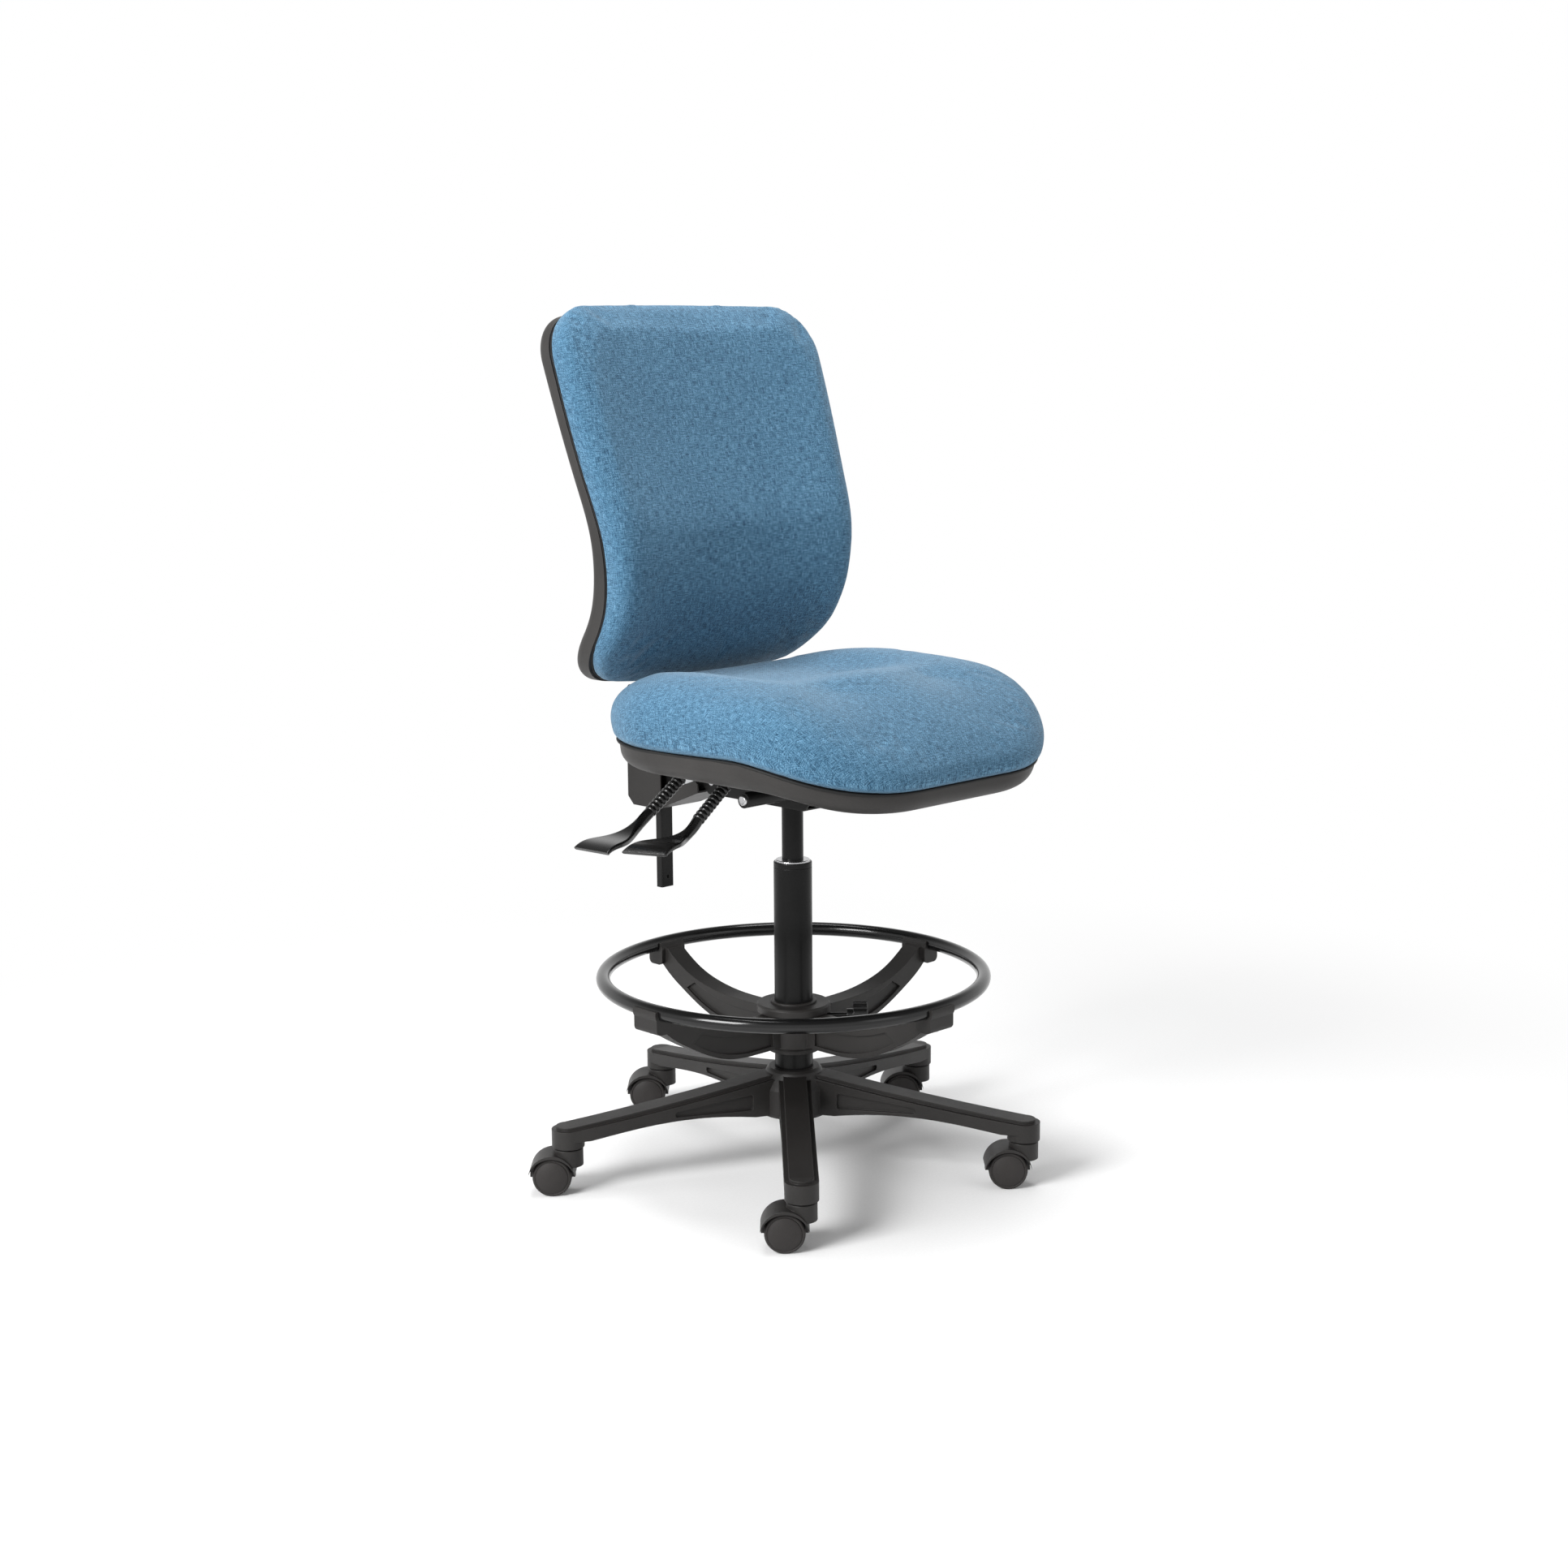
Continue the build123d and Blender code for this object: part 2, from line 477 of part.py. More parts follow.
def build_lever(root, stem, crank, roll, lift):
    frame = lever_frame(*root)
    fall = 31
    run = 42
    reach = run + 118 * cos(radians(fall))
    drop = -118 * sin(radians(fall))
    tip = (reach - 22 * cos(radians(fall)), drop + 22 * sin(radians(fall)))
    with BuildPart() as rod:
        with BuildLine(frame):
            FilletPolyline((-2, 0), (run, 0), tip, radius=18)
        with BuildSketch(Plane(frame.from_local_coords((-2, 0, 0)), z_dir=frame.x_dir)):
            Circle(4)
        sweep()
        with BuildSketch(frame.offset(-8)):
            Circle(LEVER_PIN)
        extrude(amount=16)
        if crank:
            corner = frame.from_local_coords((-16, 0, 0))
            rise = (-19, 40, 543.5)
            with BuildLine():
                Polyline(frame.from_local_coords((0, 0, 0)), corner, rise, (0, 3, 545))
            with BuildSketch(Plane(frame.from_local_coords((0, 0, 0)), z_dir=frame.x_dir * -1)):
                Circle(3)
            sweep(transition=Transition.ROUND)
            with Locations((0, 0, 542.2)):
                Cylinder(5.5, 5.6, align=(Align.CENTER, Align.CENTER, Align.MIN))
    rod.part.label = stem + "_rod"
    export_step(rod.part, "parts/" + stem + "_rod.step")

    start = run + 8
    ahead = Vector(*(frame.x_dir * cos(radians(fall)) - frame.y_dir * sin(radians(fall))))
    begin = frame.from_local_coords((start, -8 * sin(radians(fall)) / cos(radians(fall)), 0))
    pitch = 7.2
    ribs = 10
    with BuildPart() as sleeve:
        with BuildSketch(Plane(begin, x_dir=ahead, z_dir=frame.z_dir)):
            with BuildLine():
                for i in range(ribs):
                    ThreePointArc((i * pitch, 6.2), ((i + 0.5) * pitch, 8.2), ((i + 1) * pitch, 6.2))
                Line((ribs * pitch, 6.2), (ribs * pitch, 4 + GAP))
                Line((ribs * pitch, 4 + GAP), (0, 4 + GAP))
                Line((0, 4 + GAP), (0, 6.2))
            make_face()
        revolve(axis=Axis(begin, ahead))
    sleeve.part.label = stem + "_sleeve"
    export_step(sleeve.part, "parts/" + stem + "_sleeve.step")

    top = 8 / cos(radians(fall)) + ribs * pitch
    neck = [run + top * cos(radians(fall)), -top * sin(radians(fall))]
    with BuildPart() as paddle:
        with BuildSketch(slope_plane(frame, neck[0] + 0.1, neck[1] - 0.1, fall)):
            RectangleRounded(14, 14, 6.5)
        with BuildSketch(slope_plane(frame, neck[0] + 24, neck[1] - 14.5, fall)):
            RectangleRounded(15, 14, 6.5)
        with BuildSketch(slope_plane(frame, neck[0] + 42, neck[1] - 22.5 + lift / 2, 15, roll / 2)):
            RectangleRounded(26, 10, 4)
        with BuildSketch(slope_plane(frame, neck[0] + 66, neck[1] - 26.5 + lift, 4, roll)):
            RectangleRounded(46, 7.5, 3)
        with BuildSketch(slope_plane(frame, neck[0] + 98, neck[1] - 29 + lift, 8, roll)):
            RectangleRounded(58, 6, 2.5)
        with BuildSketch(slope_plane(frame, neck[0] + 107, neck[1] - 33 + lift, 40, roll)):
            RectangleRounded(60, 5, 2.2)
        loft()
        with BuildSketch(slope_plane(frame, neck[0], neck[1], fall)):
            Circle(4 + GAP)
        extrude(amount=22.5, mode=Mode.SUBTRACT)
    paddle.part.label = stem + "_paddle"
    export_step(paddle.part, "parts/" + stem + "_paddle.step")


build_lever(LEVER_FRONT, "height_lever", True, 14, 9)
build_lever(LEVER_REAR, "tilt_lever", False, 0, 0)


# ---------------------------------------------------------------- seat carrier plate
with BuildPart() as seat_plate:
    with BuildSketch(Plane.XY.offset(550)):
        with Locations((0, 5)):
            RectangleRounded(170, 200, 14)
        with Locations((0, 15)):
            RectangleRounded(56, 88, 12, mode=Mode.SUBTRACT)
    extrude(amount=3)
    for side in (-1, 1):
        with BuildSketch(Plane.YZ.offset(side * 31.5)):
            with Locations((pivot_y, pivot_z)):
                Circle(17)
            with BuildLine():
                Polyline((pivot_y - 17, pivot_z), (pivot_y + 17, pivot_z),
                         (pivot_y + 24, 551), (pivot_y - 24, 551), close=True)
            make_face()
            with Locations((pivot_y, pivot_z)):
                Circle(10 + GAP, mode=Mode.SUBTRACT)
        extrude(amount=side * 3)
    with Locations(*[(x, y, 545) for x in (-70, 70) for y in (-80, 90)]):
        Cylinder(4, 20, mode=Mode.SUBTRACT)
seat_plate.part.label = "seat_plate"
export_step(seat_plate.part, "parts/seat_plate.step")

with BuildPart() as seat_screws:
    with Locations(*[(x, y, 546) for x in (-70, 70) for y in (-80, 90)]):
        Cylinder(7, 4, align=(Align.CENTER, Align.CENTER, Align.MIN))
        Cylinder(3.95, 22, align=(Align.CENTER, Align.CENTER, Align.MIN))
seat_screws.part.label = "seat_screws"
export_step(seat_screws.part, "parts/seat_screws.step")


# ---------------------------------------------------------------- seat shell, board and cushion
def seat_slab(lower, upper):
    """Side outline between a floor and a roof height that both dip towards the front edge."""
    lower_flat, lower_nose = lower
    upper_flat, upper_nose = upper
    with BuildSketch() as slab:
        with BuildLine():
            Line((200, lower_flat), (200, upper_flat))
            Line((200, upper_flat), (-150, upper_flat))
            Spline((-150, upper_flat), (-245, upper_nose + 16), (-340, upper_nose),
                   tangents=((-1, 0), (-1, -0.05)))
            Line((-340, upper_nose), (-340, lower_nose))
            Spline((-340, lower_nose), (-245, lower_nose + 12), (-150, lower_flat),
                   tangents=((1, 0.05), (1, 0)))
            Line((-150, lower_flat), (200, lower_flat))
        make_face()
    return slab.sketch


def rim_of_underside(tray):
    """Outer edges of the downward faces of a tray."""
    underside = tray.faces().filter_by(lambda f: f.normal_at().Z < -0.8)
    return [e for e in underside.edges() if len([f for f in underside if e in f.edges()]) == 1]


cavity_side = seat_slab((557, 524), (600, 560))
shell_side = seat_slab((553, 519), (585, 546))

with BuildPart() as seat_cavity:
    with BuildSketch(Plane.XY.offset(592)):
        with Locations((0, SEAT_CENTRE_Y)):
            RectangleRounded(SEAT_WIDTH - 8, SEAT_DEPTH - 8, SEAT_CORNER - 4)
    extrude(amount=-92, taper=12)
    with BuildSketch(Plane.YZ.offset(-300)):
        add(cavity_side)
    extrude(amount=600, mode=Mode.INTERSECT)
    fillet(rim_of_underside(seat_cavity), SEAT_EDGE_ROUND - 4)

with BuildPart() as seat_shell:
    with BuildSketch(Plane.XY.offset(592)):
        with Locations((0, SEAT_CENTRE_Y)):
            RectangleRounded(SEAT_WIDTH, SEAT_DEPTH, SEAT_CORNER)
    extrude(amount=-92, taper=6)
    with BuildSketch(Plane.YZ.offset(-300)):
        add(shell_side)
    extrude(amount=600, mode=Mode.INTERSECT)
    fillet(rim_of_underside(seat_shell), SEAT_EDGE_ROUND)
    add(seat_cavity.part, mode=Mode.SUBTRACT)
    with Locations(*[(x, y, 545) for x in (-70, 70) for y in (-80, 90)]):
        Cylinder(4, 30, mode=Mode.SUBTRACT)
seat_shell.part.label = "seat_shell"
export_step(seat_shell.part, "parts/seat_shell.step")

with BuildPart() as seat_board:
    with BuildSketch(Plane.XY.offset(557.1)):
        with Locations((0, SEAT_CENTRE_Y + 34)):
            RectangleRounded(SEAT_WIDTH - 66, SEAT_DEPTH - 128, SEAT_CORNER - 32)
    extrude(amount=12)
    with Locations(*[(x, y, 550) for x in (-70, 70) for y in (-80, 90)]):
        Cylinder(4, 20, align=(Align.CENTER, Align.CENTER, Align.MIN), mode=Mode.SUBTRACT)
seat_board.part.label = "seat_board"
export_step(seat_board.part, "parts/seat_board.step")

with BuildPart() as seat_cushion:
    with BuildSketch(Plane.XY.offset(500)):
        with Locations((0, SEAT_CENTRE_Y)):
            RectangleRounded(SEAT_WIDTH + 12, SEAT_DEPTH + 12, SEAT_CORNER + 6)
    extrude(amount=180)
    with BuildSketch(Plane.YZ.offset(-300)):
        with BuildLine():
            Line((200, 585.5), (200, 645))
            Spline((200, 645), (60, 660), (-90, 664), (-180, 656), (-250, 629), (-340, 566))
            Line((-340, 566), (-340, 546.5))
            Spline((-340, 546.5), (-245, 562.5), (-150, 585.5), tangents=((1, 0.05), (1, 0)))
            Line((-150, 585.5), (200, 585.5))
        make_face()
    extrude(amount=600, mode=Mode.INTERSECT)
    crown = seat_cushion.faces().filter_by(lambda f: f.normal_at().Z > 0.5)
    fillet(crown.edges(), 32)
    with BuildSketch(Plane.XY.offset(569.5)):
        with Locations((0, SEAT_CENTRE_Y + 30)):
            RectangleRounded(SEAT_WIDTH - 60, SEAT_DEPTH - 130, SEAT_CORNER - 40)
    extrude(amount=25)
seat_cushion.part.label = "seat_cushion"
export_step(seat_cushion.part, "parts/seat_cushion.step")


# ---------------------------------------------------------------- back bracket, cover and upright bar
with BuildPart() as back_bracket:
    for side in (-1, 1):
        with BuildSketch(Plane.YZ.offset(side * 23.5)):
            with Locations((hinge_y, hinge_z)):
                Circle(10)
            with BuildLine():
                Polyline((hinge_y, hinge_z - 9), (238, 480), (238, 520), (hinge_y, hinge_z + 9),
                         close=True)
            make_face()
            with Locations((hinge_y, hinge_z)):
                Circle(5 + GAP, mode=Mode.SUBTRACT)
        extrude(amount=side * 3)
    with Locations((0, 194, 496)):
        Box(52, 86, 3)
    with Locations((0, BAR_Y, 505)):
        Box(53, 26, 70)
    fillet(back_bracket.edges().filter_by(Axis.Z), 1.5)
    with BuildSketch(Plane.XY.offset(440)):
        with Locations((0, BAR_Y)):
            Rectangle(BAR_WIDTH + 2 * GAP, BAR_THICK + 2 * GAP)
    extrude(amount=150, mode=Mode.SUBTRACT)
back_bracket.part.label = "back_bracket"
export_step(back_bracket.part, "parts/back_bracket.step")

with BuildPart() as lock_plates:
    with BuildSketch(Plane.YZ.offset(-27)):
        with Locations(Location((172, 497, 0), (0, 0, -8))):
            SlotOverall(44, 17)
            SlotOverall(26, 6.2, mode=Mode.SUBTRACT)
    extrude(amount=-1.8)
    with BuildSketch(Plane.YZ.offset(-26.5)):
        with Locations(Location((172, 497, 0), (0, 0, -8))):
            Circle(3)
    extrude(amount=-7)
    with BuildSketch(Plane.YZ.offset(-31)):
        with Locations(Location((172, 497, 0), (0, 0, -8))):
            SlotOverall(40, 15)
    extrude(amount=-1.8)
lock_plates.part.label = "lock_plates"
export_step(lock_plates.part, "parts/lock_plates.step")

with BuildPart() as bracket_cover:
    with BuildSketch(Plane.YZ):
        with BuildLine():
            Polyline((211, 460), (216, 457), (266, 457), (277, 468),
                     (277, 616), (272, 621), (216, 621), (211, 616), close=True)
        make_face()
    extrude(amount=39, both=True)
    with BuildSketch(Plane.YZ):
        with BuildLine():
            Polyline((215, 457.5), (138, 488.5), (138, 500), (143, 505), (215, 478), close=True)
        make_face()
    extrude(amount=39, both=True)
    fillet(bracket_cover.edges().filter_by(Axis.X).group_by(Axis.Y)[-1], 4)
    with BuildSketch(Plane.YZ):
        with BuildLine():
            Polyline((213.5, 463), (217, 459.5), (265, 459.5),
                     (274.5, 469), (274.5, 618.5), (213.5, 618.5), close=True)
        make_face()
    extrude(amount=36.5, both=True, mode=Mode.SUBTRACT)
    with BuildSketch(Plane.YZ):
        with BuildLine():
            Polyline((216, 459.8), (130, 494.4), (130, 560), (216, 560), close=True)
        make_face()
    extrude(amount=36.5, both=True, mode=Mode.SUBTRACT)
    with BuildSketch(Plane.XY.offset(440)):
        with Locations((0, BAR_Y)):
            RectangleRounded(BAR_WIDTH + 2, BAR_THICK + 2, 3)
    extrude(amount=200, mode=Mode.SUBTRACT)
bracket_cover.part.label = "bracket_cover"
export_step(bracket_cover.part, "parts/bracket_cover.step")

with BuildPart() as back_upright:
    with BuildLine(Plane.YZ):
        Line((BAR_Y, 340), (BAR_Y, 632))
        Spline((BAR_Y, 632), (172, 790), tangents=((0, 1), (0.151, 0.989)))
        Line((172, 790), (187.3, 890))
    with BuildSketch(Plane.XY.offset(340)):
        with Locations((0, BAR_Y)):
            RectangleRounded(BAR_WIDTH, BAR_THICK, 2.5)
    sweep()
    with BuildSketch(Plane.XZ.offset(-BAR_Y)):
        with Locations((0, 354)):
            Circle(2.2)
    extrude(amount=12, both=True, mode=Mode.SUBTRACT)
back_upright.part.label = "back_upright"
export_step(back_upright.part, "parts/back_upright.step")


# ---------------------------------------------------------------- back shell, board and cushion
half_arc = radians(BACK_HALF_ARC)
wrap_axis = Axis((0, -BACK_WRAP, 0), (0, 0, 1))
wrap_plane = Plane((0, -BACK_WRAP, 0), x_dir=(sin(half_arc), cos(half_arc), 0),
                   z_dir=(cos(half_arc), -sin(half_arc), 0))


def back_outline(inset, head_height=1107, top_round=56):
    """Front view of the back: narrower at the waist, rounder at the foot."""
    foot = 652 + inset
    head = head_height - inset
    with BuildSketch() as front:
        with BuildLine():
            ThreePointArc((-200 + inset, foot), (0, foot - 18), (200 - inset, foot))
            Spline((200 - inset, foot), (209 - inset, 776), (225 - inset, 960), (226 - inset, head))
            ThreePointArc((226 - inset, head), (0, head + 4), (-226 + inset, head))
            Spline((-226 + inset, head), (-225 + inset, 960), (-209 + inset, 776), (-200 + inset, foot))
        make_face()
        fillet(front.vertices().group_by(Axis.Y)[0], 66 - inset)
        fillet(front.vertices().group_by(Axis.Y)[-1], top_round - inset)
    return front.sketch


def back_slab(front, rear):
    """Side outline between two depths from the seam, drawn from the wrap axis and fuller low down."""
    seam = [(243, 1150, 4), (199, 1020, 1), (158, 899, 0), (138, 836, 2), (135, 785, 5),
            (142, 745, 7.7), (171, 693, 12), (198, 655, 14), (212, 615, 14)]
    near = [(BACK_WRAP + y + front, z) for y, z, _ in seam]
    far = [(BACK_WRAP + y + rear + (swell if rear > 0 else 0), z) for y, z, swell in reversed(seam)]
    with BuildSketch() as side:
        with BuildLine():
            Spline(*near)
            Line(near[-1], far[0])
            Spline(*far)
            Line(far[-1], near[0])
        make_face()
    return side.sketch


# mounting plate plane: square to the top of the upright, facing the shell
lean = radians(8.7)
plate_plane = Plane((0, 179.6, 840), x_dir=(1, 0, 0), z_dir=(0, -cos(lean), sin(lean)))
fixings = GridLocations(76, 64, 2, 2)

with BuildPart() as back_cavity:
    with BuildSketch(wrap_plane):
        add(back_slab(-6, 17))
    revolve(axis=wrap_axis, revolution_arc=2 * BACK_HALF_ARC)
    with BuildSketch(Plane.XZ):
        add(back_outline(5))
    extrude(amount=-400, mode=Mode.INTERSECT)

with BuildPart() as back_shell:
    with BuildSketch(wrap_plane):
        add(back_slab(0, 21))
    revolve(axis=wrap_axis, revolution_arc=2 * BACK_HALF_ARC)
    with BuildSketch(Plane.XZ):
        add(back_outline(0))
    extrude(amount=-400, mode=Mode.INTERSECT)
    rear_face = back_shell.faces().sort_by(SortBy.AREA)[-2:].sort_by(Axis.Y)[-1]
    fillet(rear_face.edges(), 12)
    add(back_cavity.part, mode=Mode.SUBTRACT)
    with BuildSketch(plate_plane.offset(10)):
        with Locations(*[(x, 32) for x in (-38, 38)]):
            Circle(9)
    extrude(amount=6.8)
    with BuildSketch(plate_plane.offset(10)):
        with Locations(*[(x, -32) for x in (-38, 38)]):
            Circle(9)
    extrude(amount=8.8)
    with BuildSketch(plate_plane):
        with fixings:
            Circle(3 + GAP)
    extrude(amount=60, mode=Mode.SUBTRACT)
back_shell.part.label = "back_shell"
export_step(back_shell.part, "parts/back_shell.step")

with BuildPart() as back_board:
    with BuildSketch(wrap_plane):
        add(back_slab(7.6, 16.8))
    revolve(axis=wrap_axis, revolution_arc=2 * BACK_HALF_ARC)
    with BuildSketch(Plane.XZ):
        add(back_outline(12))
    extrude(amount=-400, mode=Mode.INTERSECT)
    with BuildSketch(plate_plane):
        with fixings:
            Circle(3 + GAP)
    extrude(amount=60, mode=Mode.SUBTRACT)
back_board.part.label = "back_board"
export_step(back_board.part, "parts/back_board.step")

with BuildPart() as back_cushion:
    with BuildSketch(wrap_plane):
        add(back_slab(-37, -0.4))
    revolve(axis=wrap_axis, revolution_arc=2 * BACK_HALF_ARC)
    with BuildSketch(Plane.XZ):
        add(back_outline(1, head_height=1123, top_round=68))
    extrude(amount=-400, mode=Mode.INTERSECT)
    front_face = back_cushion.faces().sort_by(SortBy.AREA)[-2:].sort_by(Axis.Y)[0]
    fillet(front_face.edges(), 26)
back_cushion.part.label = "back_cushion"
export_step(back_cushion.part, "parts/back_cushion.step")

with BuildPart() as back_plate:
    with BuildSketch(plate_plane.offset(6)):
        RectangleRounded(104, 92, 10)
        with fixings:
            Circle(3 + GAP, mode=Mode.SUBTRACT)
    extrude(amount=4)
back_plate.part.label = "back_plate"
export_step(back_plate.part, "parts/back_plate.step")

with BuildPart() as back_screws:
    with BuildSketch(plate_plane.offset(6)):
        with fixings:
            Circle(6)
    extrude(amount=-3)
    with BuildSketch(plate_plane.offset(5)):
        with fixings:
            Circle(3)
    extrude(amount=21)
back_screws.part.label = "back_screws"
export_step(back_screws.part, "parts/back_screws.step")
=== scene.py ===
import json
import math

import bmesh
import bpy
import numpy as np
from mathutils import Matrix, Vector


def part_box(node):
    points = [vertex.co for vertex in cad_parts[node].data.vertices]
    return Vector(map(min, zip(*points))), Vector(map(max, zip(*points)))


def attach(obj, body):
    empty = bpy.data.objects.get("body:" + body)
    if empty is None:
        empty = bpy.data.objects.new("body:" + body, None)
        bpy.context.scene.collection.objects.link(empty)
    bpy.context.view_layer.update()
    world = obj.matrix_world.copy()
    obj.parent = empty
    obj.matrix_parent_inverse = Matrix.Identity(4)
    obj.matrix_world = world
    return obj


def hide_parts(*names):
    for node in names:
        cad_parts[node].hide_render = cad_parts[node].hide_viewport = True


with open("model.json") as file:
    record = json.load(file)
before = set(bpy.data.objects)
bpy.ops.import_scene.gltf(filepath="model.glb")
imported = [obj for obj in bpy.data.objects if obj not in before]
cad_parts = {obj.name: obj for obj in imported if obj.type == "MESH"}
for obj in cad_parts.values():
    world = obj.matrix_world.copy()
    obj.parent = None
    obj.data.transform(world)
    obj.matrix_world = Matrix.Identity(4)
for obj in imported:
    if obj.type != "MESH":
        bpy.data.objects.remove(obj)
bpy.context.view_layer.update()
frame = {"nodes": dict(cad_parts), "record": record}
nodes = frame["nodes"]

SEAT_PAD_LOW, SEAT_PAD_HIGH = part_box("seat_cushion")
SEAT_SHELL_LOW, SEAT_SHELL_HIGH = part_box("seat_shell")

# ------------------------------------------------------------------ curves and outlines

ROUND_PULL = 0.5523     # how far a Bezier handle runs to the tip, for a nearly circular corner


def spline_through(stations, values):
    """Natural cubic through the values at rising stations, as a function of the station."""
    x, y = np.array(stations, float), np.array(values, float)
    h = np.diff(x)
    system = np.eye(len(x))
    right = np.zeros(len(x))
    for i in range(1, len(x) - 1):
        system[i, i - 1:i + 2] = h[i - 1], 2 * (h[i - 1] + h[i]), h[i]
        right[i] = 6 * ((y[i + 1] - y[i]) / h[i] - (y[i] - y[i - 1]) / h[i - 1])
    bend = np.linalg.solve(system, right)

    def at(v):
        v = np.clip(np.asarray(v, float), x[0], x[-1])
        i = np.clip(np.searchsorted(x, v) - 1, 0, len(h) - 1)
        a, b = (x[i + 1] - v) / h[i], (v - x[i]) / h[i]
        curve = (a ** 3 - a) * bend[i] + (b ** 3 - b) * bend[i + 1]
        return a * y[i] + b * y[i + 1] + curve * h[i] ** 2 / 6

    return at


def run_along(points):
    """Length from the first point to each point of a polyline."""
    return np.concatenate([[0], np.cumsum(np.linalg.norm(np.diff(points, axis=0), axis=1))])


def even_loop(points, count):
    """A closed loop resampled to evenly spaced points."""
    p = np.array(points, float)
    p = np.vstack([p, p[:1]])
    run = run_along(p)
    s = np.linspace(0, run[-1], count, endpoint=False)
    return np.stack([np.interp(s, run, p[:, k]) for k in range(p.shape[1])], axis=1)


def rounded_corner(before, corner, after, steps=24):
    """Points of a soft corner that leaves one side for the next."""
    t = np.linspace(0, 1, steps)[:, None]
    a = before + (corner - before) * ROUND_PULL
    b = after + (corner - after) * ROUND_PULL
    return ((1 - t) ** 3 * before + 3 * (1 - t) ** 2 * t * a
            + 3 * (1 - t) * t ** 2 * b + t ** 3 * after)


def rounded_rectangle(width, depth, corner, count):
    """Plan outline centred on the origin."""
    w, d = width / 2, depth / 2
    loop = []
    for sx, sy in ((1, -1), (1, 1), (-1, 1), (-1, -1)):
        tip = np.array([sx * w, sy * d])
        along_x = tip - np.array([sx * corner, 0])
        along_y = tip - np.array([0, sy * corner])
        ends = (along_x, along_y) if sx * sy < 0 else (along_y, along_x)
        loop.extend(rounded_corner(ends[0], tip, ends[1]))
    return even_loop(loop, count)


def smooth_profile(pairs, count):
    """A profile given as (a, b) pairs, smoothed and evenly resampled."""
    p = np.array(pairs, float)
    run = run_along(p)
    s = np.linspace(0, run[-1], count)
    return spline_through(run, p[:, 0])(s), spline_through(run, p[:, 1])(s)


def mesh_object(name, vertices, faces, smooth=True):
    mesh = bpy.data.meshes.new(name)
    mesh.from_pydata([tuple(v) for v in vertices], [], faces)
    mesh.validate()
    mesh.update()
    made = bpy.data.objects.new(name, mesh)
    bpy.context.scene.collection.objects.link(made)
    if smooth:
        mesh.polygons.foreach_set("use_smooth", [True] * len(mesh.polygons))
    return made


def face_outwards(piece):
    shape = bmesh.new()
    shape.from_mesh(piece.data)
    bmesh.ops.recalc_face_normals(shape, faces=shape.faces)
    shape.to_mesh(piece.data)
    shape.free()


def bands_between(levels, count, spans):
    """Four-sided faces between each loop and the next, for the given number of spans."""
    faces = []
    for level in range(spans):
        a, b = level * count, (level + 1) % levels * count
        for i in range(count):
            j = (i + 1) % count
            faces.append((a + i, a + j, b + j, b + i))
    return faces


def closed_form(name, rings):
    """A closed mesh from a stack of equal loops, capped at a centre point at each end."""
    count = len(rings[0])
    vertices = [p for ring in rings for p in ring]
    vertices.append(np.mean(rings[0], axis=0))
    vertices.append(np.mean(rings[-1], axis=0))
    faces = bands_between(len(rings), count, len(rings) - 1)
    first, last = len(vertices) - 2, len(vertices) - 1
    top = (len(rings) - 1) * count
    for i in range(count):
        j = (i + 1) % count
        faces.append((first, j, i))
        faces.append((last, top + i, top + j))
    made = mesh_object(name, vertices, faces)
    face_outwards(made)
    return made


def closed_band(name, loops):
    """A closed strip whose section runs through matching points of the loops."""
    count = len(loops[0])
    vertices = [p for loop in loops for p in loop]
    made = mesh_object(name, vertices, bands_between(len(loops), count, len(loops)))
    face_outwards(made)
    return made


def tube_along(name, path, radius, sides=10):
    """A closed tube round a closed path that never runs upright."""
    path = np.array(path, float)
    count = len(path)
    tangent = np.roll(path, -1, axis=0) - np.roll(path, 1, axis=0)
    tangent /= np.linalg.norm(tangent, axis=1)[:, None]
    side = np.cross(tangent, np.array([0.0, 0.0, 1.0]))
    side /= np.linalg.norm(side, axis=1)[:, None]
    lift = np.cross(side, tangent)
    vertices = []
    for i in range(count):
        for k in range(sides):
            a = 2 * math.pi * k / sides
            vertices.append(path[i] + radius * (math.cos(a) * side[i] + math.sin(a) * lift[i]))
    faces = []
    for i in range(count):
        for k in range(sides):
            a, b = i * sides, (i + 1) % count * sides
            faces.append((a + k, a + (k + 1) % sides, b + (k + 1) % sides, b + k))
    return mesh_object(name, vertices, faces)


# ------------------------------------------------------------------ shader building


